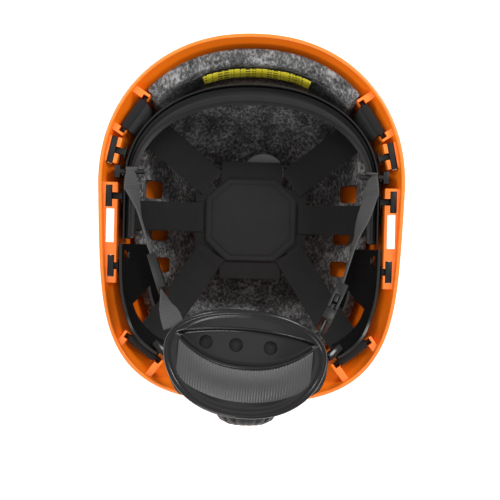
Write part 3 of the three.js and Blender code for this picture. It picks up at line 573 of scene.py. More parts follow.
def curveThrough(points, steps):
    # a smooth line through points
    path = [Vector(point) for point in points]
    ends = [path[0] * 2 - path[1], *path, path[-1] * 2 - path[-2]]
    line = []
    for k in range(len(path) - 1):
        a, b, c, d = ends[k:k + 4]
        for n in range(steps):
            t = n / steps
            line.append((2 * b + (c - a) * t + (2 * a - 5 * b + 4 * c - d) * t ** 2
                         + (3 * b - a - 3 * c + d) * t ** 3) / 2)
    return [*line, path[-1]]


def evenly(path, count):
    lengths = [0]
    for a, b in zip(path, path[1:]):
        lengths.append(lengths[-1] + (b - a).length)
    spread = []
    k = 1
    for n in range(count + 1):
        target = lengths[-1] * n / count
        while k < len(path) - 1 and lengths[k] < target:
            k += 1
        share = (target - lengths[k - 1]) / max(lengths[k] - lengths[k - 1], 1e-9)
        spread.append(path[k - 1].lerp(path[k], share))
    return spread


def step01(value, low, high):
    t = min(max((value - low) / (high - low), 0), 1)
    return t * t * (3 - 2 * t)


def signedPower(value, exponent):
    return math.copysign(abs(value) ** exponent, value)


strapEdge = {"count": 20, "squareness": 5}


def roundSection(width, thick):
    # a flat section with rounded edges
    turns = [2 * math.pi * k / strapEdge["count"] for k in range(strapEdge["count"])]
    power = 2 / strapEdge["squareness"]
    return [(signedPower(math.cos(t), power) * width / 2,
             signedPower(math.sin(t), power) * thick / 2) for t in turns]


def strap(name, path, acrossAt, width, thick, finish="web", widthAt=None):
    # webbing along a path, with a note of each point's place on it for the weave
    rings, places = [], []
    far = 0
    section = roundSection(width, thick)
    for k, point in enumerate(path):
        far += (point - path[k - 1]).length if k else 0
        tangent = (path[min(k + 1, len(path) - 1)] - path[max(k - 1, 0)]).normalized()
        across = Vector(acrossAt(k / (len(path) - 1)))
        across = (across - tangent * across.dot(tangent)).normalized()
        normal = tangent.cross(across)
        wide = widthAt(k / (len(path) - 1)) if widthAt else 1
        rings.append([point + across * a * wide + normal * b for a, b in section])
        places += [(far, a, b) for a, b in section]
    points, faces = loft(rings)
    piece = newPiece(name, points, faces, finish)
    notePlaces(piece, places)
    return piece


def notePlaces(piece, places):
    notes = piece.data.attributes.new("strapPlace", "FLOAT_VECTOR", "POINT")
    for k, place in enumerate(places):
        notes.data[k].vector = place


def moulded(node, finish, edge):
    # the CAD shape with its edges rounded
    mesh = frame["nodes"][node].data.copy()
    mesh.materials.clear()
    mesh.materials.append(finishes[finish])
    work = bmesh.new()
    work.from_mesh(mesh)
    bmesh.ops.remove_doubles(work, verts=work.verts, dist=2e-6)
    flat = math.radians(1.5)
    bmesh.ops.dissolve_limit(work, angle_limit=flat, verts=work.verts, edges=work.edges)
    work.to_mesh(mesh)
    work.free()
    piece = bpy.data.objects.new(node + "_finished", mesh)
    scene.collection.objects.link(piece)
    soften(piece, edge)
    return dress(piece, finish, node)


# the shell's outline

shellLow, shellHigh = boxOf("shell")
shell = {
    "halfWidth": (shellHigh.x - shellLow.x) / 2,
    "halfLength": (shellHigh.y - shellLow.y) / 2,
    "height": shellHigh.z,
    "wall": 3.0,
    "frontLength": 115.0,
    "frontRound": 2.15,
    "rearSquare": 4.6,
    "rearRound": 2.8,
    "rearTaper": 0.055,
    "bodyShare": 0.9,
    "flareDepth": 38.0,
    "domeDrop": 45.0,
    "landShare": 0.2,
    "lipRadius": 1.3,
    "columns": 240,
    "levels": 36,
}
widestY = shell["frontLength"] - shell["halfLength"]
rearLength = shell["halfLength"] - widestY


def rimCorner(angle):
    across, along = math.cos(angle), abs(math.sin(angle))
    if angle < 0:
        power = 2 / shell["frontRound"]
        return Vector((shell["halfWidth"] * across ** power,
                       widestY - shell["frontLength"] * along ** power, 0))
    share = along ** (2 / shell["rearSquare"])
    width = shell["halfWidth"] * (1 - shell["rearTaper"] * share)
    return Vector((width * across ** (2 / shell["rearRound"]), widestY + rearLength * share, 0))


def rimOutline(count):
    fine = 1440
    half = [rimCorner(-math.pi / 2 + math.pi * n / fine) for n in range(1, fine)]
    half = [Vector((0, -shell["halfLength"], 0)), *half, Vector((0, shell["halfLength"], 0))]
    right = evenly(half, count // 2)
    left = [Vector((-p.x, p.y, 0)) for p in reversed(right[1:-1])]
    return right + left


def shareAt(z):
    dome = shell["height"] - shell["domeDrop"]
    if z < dome:
        base = shell["landShare"] ** 2
        rise = 1 - (1 - z / dome) ** 2
        return shell["bodyShare"] * math.sqrt(base + (1 - base) * rise)
    start = shell["height"] - shell["flareDepth"]
    return shell["bodyShare"] + (1 - shell["bodyShare"]) * step01(z, start, shell["height"])


def wallPoint(outline, k, z, depth):
    # a point of the wall at a height, moved inwards by a depth
    here = outline[k]
    side = outline[(k + 1) % len(outline)] - outline[k - 1]
    low = max(z - 0.01, 0)
    slope = (shareAt(z + 0.01) - shareAt(low)) / (z + 0.01 - low)
    out = side.cross(Vector((here.x * slope, here.y * slope, 1))).normalized()
    share = shareAt(z)
    return Vector((here.x * share, here.y * share, z)) - out * depth


def heights(top, count):
    return [top * (k / count) ** 1.6 for k in range(count + 1)]


def bowl(outline, count, topAt, outerDepth, innerDepthAt, lip):
    # a thick bowl whose top edge is rounded by lip on both faces
    columns = []
    arc = [math.pi / 2 * n / 4 for n in range(1, 5)]
    for k, point in enumerate(outline):
        top = topAt(point) - lip
        rim = innerDepthAt(point, top)
        column = [wallPoint(outline, k, z, outerDepth) for z in heights(top, count)]
        for t in arc:
            edge = wallPoint(outline, k, top, outerDepth + lip * (1 - math.cos(t)))
            edge.z = column[count].z + lip * math.sin(t)
            column.append(edge)
        inside = [wallPoint(outline, k, z, innerDepthAt(point, z)) for z in heights(top, count)]
        inside[count].z = column[count].z
        for t in reversed(arc):
            edge = wallPoint(outline, k, top, rim - lip * (1 - math.cos(t)))
            edge.z = column[count].z + lip * math.sin(t)
            column.append(edge)
        columns.append(column + inside[::-1])
    return wrap(columns, Vector((0, 0, outerDepth)), Vector((0, 0, innerDepthAt(Vector((0, 0, 0)), 0))))


def insideAt(start, direction, z):
    # how far a level line runs from start before it meets the inside of the wall
    share = shareAt(z)
    best = 1e9
    for k, point in enumerate(measuringRim):
        a = point * share
        edge = measuringRim[(k + 1) % len(measuringRim)] * share - a
        cross = direction.x * edge.y - direction.y * edge.x
        if abs(cross) < 1e-12:
            continue
        away = a - start
        far = (away.x * edge.y - away.y * edge.x) / cross
        where = (away.x * direction.y - away.y * direction.x) / cross
        if 0 <= where <= 1 and far > 0:
            best = min(best, far)
    return best - shell["wall"]


measuringRim = rimOutline(288)

# shell

rails = {"drop": 5.0, "tall": 19.0, "from": -25.0, "to": 52.0, "face": 9.8, "edge": 0.7,
         "back": 30.0, "frontLength": 20.0, "frontBack": 9.5}
keys = {"length": 16.0, "frontLength": 20.0, "thick": 4.4, "stem": 4.6, "tall": 15.0,
        "depth": 3.4, "gap": 0.35}
webWays = {
    "front": {"start": (32.7, -30.4), "way": (0.78, -0.626), "pinWay": (0.83, -0.558)},
    "rear": {"start": (31.9, 26.6), "way": (0.541, 0.841), "pinWay": (0.6, 0.8)},
}
hooks = {"span": 33.0, "pinRadius": 2.0, "thick": 5.6, "reach": 26.0, "tall": 15.0}
earSlot = {"from": -5.0, "to": 21.0, "width": 6.0, "offset": 2.0, "lean": 0.135}


def railTop():
    return shell["height"] - rails["drop"]


def railFace(y):
    return insideAt(Vector((0, y, 0)), Vector((1, 0, 0)), railTop()) - rails["face"]


def keyFrames(side):
    # where each hanger key's head stands, its length, and the ways along it and inwards
    word = "right" if side > 0 else "left"
    found = []
    for name in ("front", "middle", "rear"):
        low, high = boxOf(f"key_{name}_{word}")
        turn = math.radians(-12 if name == "front" else 0) * side
        along = Vector((-math.sin(turn), math.cos(turn), 0))
        inward = Vector((-side * math.cos(turn), -side * math.sin(turn), 0))
        y = (low.y + high.y) / 2
        x = side * (railFace(y) + keys["depth"] + keys["thick"] / 2)
        length = keys["frontLength"] if name == "front" else keys["length"]
        found.append((along, inward, Vector((x, y, 0)), length))
    return found


def pinLine(name):
    # a pin's middle, the way of its web over it, and the way of its own length
    middle = middleOf("pin_" + name)
    end, hand = name.split("_")
    side = 1 if hand == "right" else -1
    x, y = webWays[end]["pinWay"]
    direction = Vector((side * x, y, 0)).normalized()
    return middle, direction, Vector((-direction.y, direction.x, 0))


def railSolids(side):
    top = railTop()
    middleY = (rails["from"] + rails["to"]) / 2
    middle = (side * (railFace(middleY) + rails["back"] / 2), middleY, top - rails["tall"] / 2)
    yield block(middle, (0, 1, 0), rails["to"] - rails["from"], rails["back"], rails["tall"])
    along, inward, head = keyFrames(side)[0][:3]
    front = head - inward * rails["frontBack"] + up * (top - rails["tall"] / 2)
    yield block(front, along, rails["frontLength"], rails["back"], rails["tall"])


def hookSolids(name):
    middle, direction, across = pinLine(name)
    offset = (hooks["span"] - 8) / 2 + 3.6
    for end in (-1, 1):
        at = middle + across * end * offset
        at += direction * (hooks["reach"] / 2 - hooks["pinRadius"] - 0.6) - up * 2
        yield block(at, across, hooks["thick"], hooks["reach"], hooks["tall"])


def notchSolid(name):
    middle, _, across = pinLine(name)
    tall = 12
    wide = 2 * (hooks["pinRadius"] + keys["gap"])
    at = middle + up * (tall / 2 - hooks["pinRadius"] - keys["gap"])
    return block(at, across, hooks["span"] + 2 * keys["gap"], wide, tall)


def keySlotSolids(side):
    gap = keys["gap"]
    tall = keys["tall"] + 1 + rails["drop"]
    for along, inward, head, length in keyFrames(side):
        lift = up * (railTop() - keys["tall"] - gap + tall / 2)
        yield block(head + lift, along, length + 2 * gap, keys["thick"] + 2 * gap, tall)
        stem = head + inward * (9 + keys["thick"] / 4)
        yield block(stem + lift, along, keys["stem"] + 2 * gap, 18, tall)


def earSlotSolid(side):
    face = railFace(5)
    rings = []
    for z in (railTop() + 6, shell["height"] - shell["flareDepth"] - 8):
        low = face + earSlot["offset"] + (railTop() - z) * earSlot["lean"]
        high = low + earSlot["width"]
        corners = ((low, earSlot["from"]), (high, earSlot["from"]),
                   (high, earSlot["to"]), (low, earSlot["to"]))
        rings.append([Vector((side * x, y, z)) for x, y in corners])
    return loft(rings)


def mergedSolids(name, solids, edge=0.0):
    # separate closed solids made one by unions
    first = None
    for n, solid in enumerate(solids):
        piece = newPiece(f"{name}{n}", *solid, "orange")
        if edge:
            soften(piece, edge)
        first = carve(first, piece, "UNION") if first else piece
    return first


def makeShell():
    outline = rimOutline(shell["columns"])
    moulding = newPiece("shell_moulding", *bowl(
        outline, shell["levels"], lambda p: shell["height"], 0,
        lambda p, z: shell["wall"], shell["lipRadius"]), "orange")
    inside = [[wallPoint(outline, k, z, 1.2) for z in heights(shell["height"] - 2, 20)]
              for k in range(len(outline))]
    filled = wrap(inside, Vector((0, 0, 1.2)), Vector((0, 0, shell["height"] - 2)))
    adders = [solid for side in (-1, 1) for solid in railSolids(side)]
    adders += [solid for name in pinNames for solid in hookSolids(name)]
    added = mergedSolids("shellBlock", adders, edge=rails["edge"])
    carve(added, newPiece("filled", *filled, "orange"), "INTERSECT")
    carve(moulding, added, "UNION")
    cutters = [solid for side in (-1, 1) for solid in keySlotSolids(side)]
    cutters += [earSlotSolid(side) for side in (-1, 1)]
    cutters += [notchSolid(name) for name in pinNames]
    carve(moulding, mergedSolids("shellCut", cutters))
    dress(moulding, "orange", "shell")


pinNames = ["front_left", "front_right", "rear_left", "rear_right"]
makeShell()
print("the shell is moulded")

# liner and label

liner = {
    "gap": 4.6, "side": 8.2, "front": 4.8, "brow": 9.0, "browTall": 24.0,
    "frontDrop": 10.0, "sideDrop": 60.0, "rearDrop": 70.0,
    "levels": 26, "lip": 2.2, "ventWidth": 13.0, "ventRadius": 3.0,
    "vents": ((-24, 15, 0.7), (13, 11, 0.66), (39, 13, 0.64)),
}


def linerFront(point):
    side = 1 - step01(abs(point.x) / shell["halfWidth"], 0.76, 0.82)
    return side if point.y < widestY else 0


def linerTop(point):
    rear = step01(point.y, shell["halfLength"] * 0.35, shell["halfLength"] * 0.6)
    drop = liner["sideDrop"] + (liner["rearDrop"] - liner["sideDrop"]) * rear
    return shell["height"] - drop - (liner["frontDrop"] - drop) * linerFront(point)


def linerDepth(point, z):
    edge = shell["height"] - liner["frontDrop"]
    brow = liner["brow"] * step01(z, edge - liner["browTall"], edge)
    thick = liner["side"] + (liner["front"] + brow - liner["side"]) * linerFront(point)
    return shell["wall"] + liner["gap"] + thick


def roundedPrism(middle, length, width, tall):
    radius = liner["ventRadius"]
    corners = []
    for cx, cy, start in ((1, 1, 0), (-1, 1, 90), (-1, -1, 180), (1, -1, 270)):
        for n in range(5):
            t = math.radians(start + 22.5 * n)
            corners.append(Vector((cx * (width / 2 - radius) + radius * math.cos(t),
                                   cy * (length / 2 - radius) + radius * math.sin(t), 0)))
    return loft([[middle + c - up * tall / 2 for c in corners],
                 [middle + c + up * tall / 2 for c in corners]])


def makeLiner():
    outline = rimOutline(shell["columns"])
    bowlSolid = bowl(outline, liner["levels"], linerTop, shell["wall"] + liner["gap"],
                     linerDepth, liner["lip"])
    piece = newPiece("liner_foam", *bowlSolid, "foam")
    holes = []
    for side in (-1, 1):
        for y, length, out in liner["vents"]:
            middle = Vector((side * shell["halfWidth"] * out, y, shell["height"] / 2))
            holes.append(roundedPrism(middle, length, liner["ventWidth"], shell["height"]))
    carve(piece, newPiece("vents", *together(*holes), "foam"))
    dress(piece, "foam", "foam_liner")
    low, high = boxOf("liner_button")
    tilt = math.asin(min(1, (high.z - low.z) / 36))
    face = Vector((0, math.sin(tilt), math.cos(tilt)))
    middle = (low + high) / 2
    disc = newPiece("liner_button_moulded", *rod(middle - face, middle + face, 17.9, 64), "grey")
    soften(disc, 0.6)
    dress(disc, "grey", "liner_button")


def makeLabel():
    # a printed strip, standing against the liner's front edge
    low, high = boxOf("size_label")
    outline = rimOutline(576)
    depth = linerDepth(Vector((0, -shell["halfLength"], 0)), high.z) + 3.2
    rings = []
    for n in range(-38, 35):
        wave = 0.15 * math.sin(n * 0.29)
        rings.append([])
        for deep, z in ((4, low.z), (0, high.z - 0.2), (0.15, high.z), (0.35, high.z),
                        (0.5, high.z - 0.2), (4.5, low.z)):
            point = wallPoint(outline, n % len(outline), high.z, depth + deep + wave)
            point.z = z + 0.3 * math.sin(n * 0.21)
            rings[-1].append(point)
    piece = newPiece("size_label_printed", *loft(rings), "label")
    dress(piece, "label", "size_label")


makeLiner()
makeLabel()
print("the liner is in")

# headband

band = {
    "sideGap": 19.2, "frontGap": 37.3, "thick": 1.6, "padFront": 11.0, "padSide": 4.0,
    "gap": 0.3, "end": 18.0, "steps": 90,
}
stripLow, stripHigh = boxOf("headband_strip")


def stripPath(grow, count, frontGrow=None):
    a = shell["halfWidth"] - band["sideGap"] + grow
    b = shell["frontLength"] - band["frontGap"] + (grow if frontGrow is None else frontGrow)
    power = 2 / shell["frontRound"]
    path = [Vector((a, band["end"], 0)), Vector((a, widestY / 2, 0))]
    for n in range(121):
        t = math.pi * n / 120
        path.append(Vector((a * signedPower(math.cos(t), power), widestY - b * math.sin(t) ** power, 0)))
    path += [Vector((-a, widestY / 2, 0)), Vector((-a, band["end"], 0))]
    return evenly(path, count)


def bandSweep(outer, inner, section):
    # a section swept round the band: (share from inner to outer, height)
    return [[i.lerp(o, share) + up * z for share, z in section] for o, i in zip(outer, inner)]


air = {"pressure": 4.0, "voxel": 2.5, "frames": 20}


def puff(piece, cap):
    # padded fabric: swollen by a short cloth run, with a limit on how far a point moves
    remesh = piece.modifiers.new("even", "REMESH")
    remesh.mode = "VOXEL"
    remesh.voxel_size = air["voxel"] * mm
    applyAll(piece)
    start = [v.co.copy() for v in piece.data.vertices]
    cloth = piece.modifiers.new("air", "CLOTH")
    cloth.settings.use_pressure = True
    cloth.settings.uniform_pressure_force = air["pressure"]
    cloth.settings.effector_weights.gravity = 0
    cloth.settings.quality = 5
    for number in range(1, air["frames"] + 1):
        scene.frame_set(number)
    applyAll(piece)
    for point, before in zip(piece.data.vertices, start):
        move = point.co - before
        if move.length > cap * mm:
            point.co = before + move.normalized() * cap * mm
    scene.frame_set(1)
    rounder = piece.modifiers.new("rounder", "SUBSURF")
    rounder.levels = 1
    return applyAll(piece, 60)


def makeStrip():
    half = band["thick"] / 2
    low, top = stripLow.z, stripHigh.z
    outer, inner = stripPath(half, band["steps"]), stripPath(-half, band["steps"])
    section = [(0, low + 0.5), (0, top - 0.5), (0.3, top), (0.7, top), (1, top - 0.5), (1, low + 0.5),
               (0.7, low), (0.3, low)]
    piece = newPiece("headband_strip_moulded", *loft(bandSweep(outer, inner, section)), "gloss")
    dress(piece, "gloss", "headband_strip")


def makeBrowPad():
    # foam wrapped in brushed cloth, with a rolled top edge
    half = band["thick"] / 2
    low, top = stripLow.z, stripHigh.z
    outer = stripPath(-half - band["gap"], band["steps"])
    back = -half - band["gap"]
    inner = stripPath(back - band["padSide"], band["steps"], back - band["padFront"])
    section = [(1, low + 2), (1, top - 4), (0.92, top - 5.5), (0.75, top - 6.5), (0.5, top - 6.2),
               (0.36, top - 3.4), (0.2, top - 0.8), (0.04, top - 0.1), (-0.12, top - 1.2),
               (-0.14, top - 2.8), (0.0, top - 4.4), (0.06, top - 5.0), (0.0, top - 7),
               (-0.04, top - 14), (-0.04, low + 14), (0.1, low + 4), (0.35, low + 1), (0.7, low + 0.6)]
    rings = bandSweep(outer, inner, section)
    piece = newPiece("brow_pad_cloth", *loft(rings), "pad")
    rounder = piece.modifiers.new("rounder", "SUBSURF")
    rounder.levels = 1
    applyAll(piece, 60)
    dress(piece, "pad", "brow_pad")


sideBands = {"gap": 15.9, "thick": 2.0, "tall": 60.0, "lean": 20.0, "from": 22.0, "to": 103.0,
             "rearLength": 116.2, "square": 5.0, "lift": 9.0, "count": 48}


def sideBandPoint(y):
    a = shell["halfWidth"] - sideBands["gap"]
    return Vector((a * math.sqrt(1 - (y / sideBands["rearLength"]) ** sideBands["square"]), y, 0))


def makeSideBand(name, side):
    lean = math.tan(math.radians(sideBands["lean"]))
    count = sideBands["count"]
    top = stripHigh.z
    rings, thick = [], sideBands["thick"]
    for k in range(count + 1):
        share = k / count
        y = sideBands["from"] + (sideBands["to"] - sideBands["from"]) * share
        here = sideBandPoint(y)
        way = sideBandPoint(y - 0.5) - sideBandPoint(y + 0.5)
        out = Vector((-way.y, way.x, 0)).normalized()
        wave = math.sin(math.pi * (share * 14 + 2) / 18)
        tall = sideBands["tall"] * (0.55 + 0.45 * wave)
        lift = sideBands["lift"] * step01(share, 0.6, 1)
        section = [(0, -lift + 0.4), (0.5, -lift), (thick + 0.3, -lift), (thick + 0.7, -lift + 0.5),
                   (thick + 0.7, -lift + 2), (thick, -lift + 2.6)]
        section += [(thick, -lift + 2.6 + (tall - 3 + lift) * n / 8) for n in range(1, 9)]
        section += [(thick - 0.4, tall), (0.4, tall)]
        section += [(0, tall - (tall - 2 + lift) * n / 8) for n in range(0, 8)]
        ring = []
        for deep, down in section:
            point = here - out * (deep + down * lean)
            ring.append(Vector((side * point.x, point.y, top - down)))
        rings.append(ring)
    piece = newPiece(f"side_band_{name}_moulded", *loft(rings), "gloss")
    middle, direction, across = pinLine(f"rear_{name}")
    cross = middle - direction * 14 + across * (side * -7)
    cross.z = top - 30
    openings = [block(cross, across, 42, 60, 34)]
    hole = Vector((side * (shell["halfWidth"] - sideBands["gap"]), sideBands["from"] + 9, top - 9))
    openings.append(rod(hole + Vector((side * 4, 0, 0)), Vector((0, hole.y, hole.z)), 4.5))
    carve(piece, mergedSolids("bandCut", openings))
    dressBand(piece, name)


def dressBand(piece, name):
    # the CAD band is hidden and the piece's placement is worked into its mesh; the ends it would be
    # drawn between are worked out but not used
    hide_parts(f"side_band_{name}")
    start = sideBandPoint(sideBands["from"] + 30)
    end = sideBandPoint(sideBands["to"] - 6)
    side = 1 if name == "right" else -1
    start.x *= side
    end.x *= side
    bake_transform(piece)


makeStrip()
makeBrowPad()
for word, hand in (("left", -1), ("right", 1)):
    makeSideBand(word, hand)
print("the headband is in")

# cradle

cradle = {"webWidth": 25.0, "webThick": 1.5, "padWidth": 74.0, "padLength": 67.0, "sideEdge": 35.0,
          "frontEdge": 39.0, "groove": 4.2, "corner": 1.5}
backingLow, backingHigh = boxOf("crown_backing")
crownLow, crownHigh = boxOf("crown_pad")
webZ = backingHigh.z + 0.3 + cradle["webThick"] / 2


def octagonRing(width, length, front, side):
    corners = [(front, length), (width, side), (width, -side), (front, -length),
               (-front, -length), (-width, -side), (-width, side), (-front, length)]
    corners = [Vector((x / 2, y / 2, 0)) for x, y in corners]
    ring = []
    for k, corner in enumerate(corners):
        before = (corners[k - 1] - corner).normalized() * cradle["corner"]
        after = (corners[(k + 1) % 8] - corner).normalized() * cradle["corner"]
        for n in range(5):
            t = n / 4
            ring.append((corner + before) * (1 - t) ** 2 + corner * 2 * t * (1 - t)
                        + (corner + after) * t * t)
    return ring


def makeCrownPad():
    low, top = crownLow.z, crownHigh.z
    ring = octagonRing(cradle["padWidth"], cradle["padLength"], cradle["frontEdge"], cradle["sideEdge"])
    halfWide = cradle["padWidth"] / 2
    profile = [(0.6, low), (0, low + 0.8), (0, top - 1.4), (0.25, top - 0.9), (0.8, top - 0.6),
               (cradle["groove"] - 1.4, top - 0.55), (cradle["groove"] - 0.7, top - 0.8),
               (cradle["groove"], top - 1.3), (cradle["groove"] + 0.7, top - 0.8),
               (cradle["groove"] + 1.5, top - 0.25), (cradle["groove"] + 3.5, top)]
    profile += [(cradle["groove"] + 3.5 + n * 3.5, top - 0.02 * n) for n in range(1, 7)]
    rings = [[p * (1 - inset / halfWide) + up * z for p in ring] for inset, z in profile]
    piece = newPiece("crown_pad_foam", *loft(rings), "pad", 55)
    dress(piece, "pad", "crown_pad")


def overPin(name, radius):
    middle, direction, _ = pinLine(name)
    turns = [math.pi * (1 - k / 14) for k in range(15)]
    path = [middle + direction * radius * math.cos(t) + up * radius * math.sin(t) for t in turns]
    return [*path, path[-1] - up * 4]


def makeCradleWeb(name):
    middle, _, across = pinLine(name)
    front = name.startswith("front")
    loop = hooks["pinRadius"] + 0.3 + cradle["webThick"] / 2
    plan = webWays["front" if front else "rear"]
    start = Vector((math.copysign(plan["start"][0], middle.x), plan["start"][1], 0))
    way = (middle - start) * Vector((1, 1, 0))
    far = way.length
    way.normalize()
    padAcross = Vector((-way.y, way.x, 0))
    bandLow, bandTop, pinZ = stripLow.z, stripHigh.z, middle.z

    def at(distance, z):
        return start + way * distance + up * z

    if front:
        stops = [at(0, webZ), at(14, webZ + 0.4), at(30, webZ + 8), at(46, bandLow - 9),
                 at(58, bandLow - 6), at(64.5, bandLow - 2.6), at(67.6, bandLow + 3),
                 at(far - loop - 3.4, pinZ - 22), at(far - loop - 1.8, pinZ - 10)]
    else:
        stops = [at(0, webZ), at(16, webZ + 0.4), at(44, webZ + 12), at(far - 24, bandTop - 38),
                 at(far - 14, bandTop - 31), at(far - 7, bandTop - 21), at(far - loop - 1.2, pinZ - 10)]
    path = curveThrough(stops, 8) + overPin(name, loop)
    piece = strap(f"web_{name}_woven", path, lambda s: padAcross.lerp(across, step01(s, 0.45, 0.7)),
                  cradle["webWidth"], cradle["webThick"])
    dress(piece, "web", "web_" + name)


def makeSideWeb(name, side):
    low, high = boxOf(f"web_side_{name}")
    y = (low.y + high.y) / 2
    strip = shell["halfWidth"] - band["sideGap"] + band["thick"] / 2
    out = strip + 0.3 + cradle["webThick"] / 2
    bandLow = stripLow.z
    inner = abs(low.x if side > 0 else high.x)
    stops = [(inner, webZ), (55, webZ + 1), (76, webZ + 12), (strip - 5, bandLow - 7),
             (out - 0.4, bandLow - 3), (out + 0.2, bandLow + 4), (out + 0.2, bandLow + 24)]
    path = curveThrough([(side * x, y, z) for x, z in stops], 8)
    piece = strap(f"web_side_{name}_woven", path, lambda share: (0, 1, 0), high.y - low.y,
                  cradle["webThick"])
    dress(piece, "web", f"web_side_{name}")


makeCrownPad()
for pinName in pinNames:
    makeCradleWeb(pinName)
for word, hand in (("left", -1), ("right", 1)):
    makeSideWeb(word, hand)
print("the cradle is hung")

# pins, keys and the ratchet

edges = {
    "pin": ("plastic", 0.4), "key": ("plastic", 0.6), "nape_housing": ("plastic", 0.8),
    "housing_cover": ("plastic", 0.8), "pinion": ("grey", 0.15), "knob_screw": ("steel", 0.3),
    "adjuster_knob": ("plastic", 0.7), "rack_left": ("plastic", 0.25),
    "rack_right": ("plastic", 0.25),
    "rack_lug": ("gloss", 1.2), "strap_anchor": ("plastic", 0.5), "anchor_rivet": ("steel", 0.35),
    "web_rivet": ("plastic", 0.3), "crown_backing": ("web", 0.4), "buckle_socket": ("plastic", 0.9),
    "buckle_tongue": ("plastic", 0.7), "buckle_prong": ("plastic", 0.4),
    "strap_slider": ("plastic", 0.9),
}


def makeHardPieces():
    for node in sorted(frame["nodes"]):
        for start, (finish, edge) in edges.items():
            if node.startswith(start):
                moulded(node, finish, edge)


def makeNapePad():
    low, high = boxOf("nape_pad")
    middle = (low + high) / 2
    size = high - low
    rings = []
    for deep, inset in ((0, 2.5), (1.2, 0.8), (3, 0.2), (5, 0.2), (6.8, 0.8), (8, 2.5)):
        y = low.y + deep
        ring = []
        for n in range(64):
            t = 2 * math.pi * n / 64
            x = signedPower(math.cos(t), 0.5) * (size.x / 2 - inset)
            z = signedPower(math.sin(t), 0.5) * (size.z / 2 - inset)
            ring.append(Vector((middle.x + x, y, middle.z + z)))
        rings.append(ring)
    piece = newPiece("nape_pad_cloth", *loft(rings), "pad")
    puff(piece, 0.9)
    dress(piece, "pad", "nape_pad")


makeHardPieces()
makeNapePad()
print("pins, keys and the ratchet are in")

# chin strap

chin = {"lowerFrom": 17, "lowerTo": 30, "release": 18,
        "webWidth": 15.0, "webThick": 1.4, "bar": 2.0, "sliderShare": 0.64, "socketStart": 12.5,
        "tilt": (0.12, -0.45, 1.0)}


def webTilt(side):
    x, y, z = chin["tilt"]
    return Vector((side * x, y, z))


def chinWebPath(side, start, end):
    # round the anchor's bar, then straight
    name = "right" if side > 0 else "left"
    low, high = boxOf("strap_anchor_" + name)
    bar = Vector((side * 91.5, (low.y + high.y) / 2, high.z - chin["bar"]))
    loop = chin["bar"] + 0.3 + chin["webThick"] / 2
    turns = [-0.2 * math.pi - 1.3 * math.pi * k / 16 for k in range(17)]
    path = [bar + Vector((0, math.cos(t), math.sin(t))) * loop for t in turns]
    rise = path[-1].lerp(start, 0.5) + up * 2.4
    straight = evenly([start, end], 24)
    return path + curveThrough([path[-1], rise, start], 5)[1:-1] + straight


def makeChinWeb(side, end):
    name = "right" if side > 0 else "left"
    low, high = boxOf("strap_anchor_" + name)
    start = Vector((side * 90, (low.y + high.y) / 2 + 15, high.z + 6))
    path = chinWebPath(side, start, end)
    tilt = webTilt(side)

    first, last = ((0.5, 0.62) if side > 0 else (0.6, 0.8))
    leaning = Vector((side * 0.75, -0.3, 0.75))

    def across(share):
        lower = step01(share, 0.86, 1) if side > 0 else 0
        turned = Vector((1, 0, 0)).lerp(leaning, step01(share, 0.24, 0.34))
        return turned.lerp(tilt, step01(share, first, last)).lerp(Vector((0.8, 0.55, 0.2)), lower)

    def folded(share):
        return 0.6 + 0.4 * step01(share, 0.3, 0.5)

    piece = strap(f"chin_web_{name}_woven", path, across, chin["webWidth"], chin["webThick"], "chinWeb",
                  widthAt=folded)
    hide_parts(f"chin_web_{name}")
    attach(piece, bodyOf(f"chin_web_{name}"))
    return piece, start


def makeChinWebs():
    slider = middleOf("strap_slider")
    low, high = boxOf("strap_anchor_right")
    start = Vector((90, (low.y + high.y) / 2 + 15, high.z + 6))
    makeChinWeb(1, start + (slider - start) / chin["sliderShare"])
    socket, tongue = middleOf("buckle_socket"), middleOf("buckle_tongue")
    way = (tongue - socket).normalized()
    end = socket - way * chin["socketStart"]
    piece, start = makeChinWeb(-1, end)
    # its anchor's bar and its length are worked out, and the web gets a mesh of its own
    low, high = boxOf("strap_anchor_left")
    bar = Vector((start.x, (low.y + high.y) / 2, high.z - chin["bar"]))
    length = (end - bar).length
    (end - bar).normalized()
    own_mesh(piece)
    path = evenly([socket + way * chin["lowerFrom"], socket + way * chin["lowerTo"]], 12)
    lower = strap("chin_web_lower_woven", path, lambda share: webTilt(-1), chin["webWidth"],
                  chin["webThick"], "chinWeb")
    dress(lower, "chinWeb", "chin_web_lower")


makeChinWebs()
print("the chin strap hangs")

# chin cup

cupLow, cupHigh = boxOf("chin_cup")
cup = {
    "middle": Vector(((cupLow.x + cupHigh.x) / 2, cupLow.y + 29.3, cupLow.z)),
    "turn": -4.0, "halfLength": 55.5, "front": 29.0, "rear": 42.5, "rise": 12.0, "wall": 2.5,
    "ring": 2.1, "lensTop": -18.0, "lensLow": 8.0, "lensTip": 51.0, "lensTipW": -11.0,
    "lensDeep": 2.4, "holes": (-28, -7, 17), "holeRadius": 4.9, "holeW": -6.0,
    "bandLow": 33.0, "bandTip": 47.0, "ribs": 1.9, "ribDeep": 0.22, "bulge": 2.2,
}


def cupPoint(u, w, height):
    turn = math.radians(cup["turn"])
    x, y = -u, w
    return cup["middle"] + Vector((x * math.cos(turn) - y * math.sin(turn),
                                   x * math.sin(turn) + y * math.cos(turn), height))


def cupHeight(u, w):
    return cup["rise"] * (1 - (u / cup["halfLength"]) ** 2) + 3 * (1 - (w / cup["rear"]) ** 2)


def cupEdge(angle):
    w = math.sin(angle)
    reach = cup["front"] if w < 0 else cup["rear"]
    return cup["halfLength"] * signedPower(math.cos(angle), 0.9), reach * w


def lensLower(u):
    share = min(abs(u) / cup["lensTip"], 1) ** 2.3
    return cup["lensLow"] + (cup["lensTipW"] - cup["lensLow"]) * share


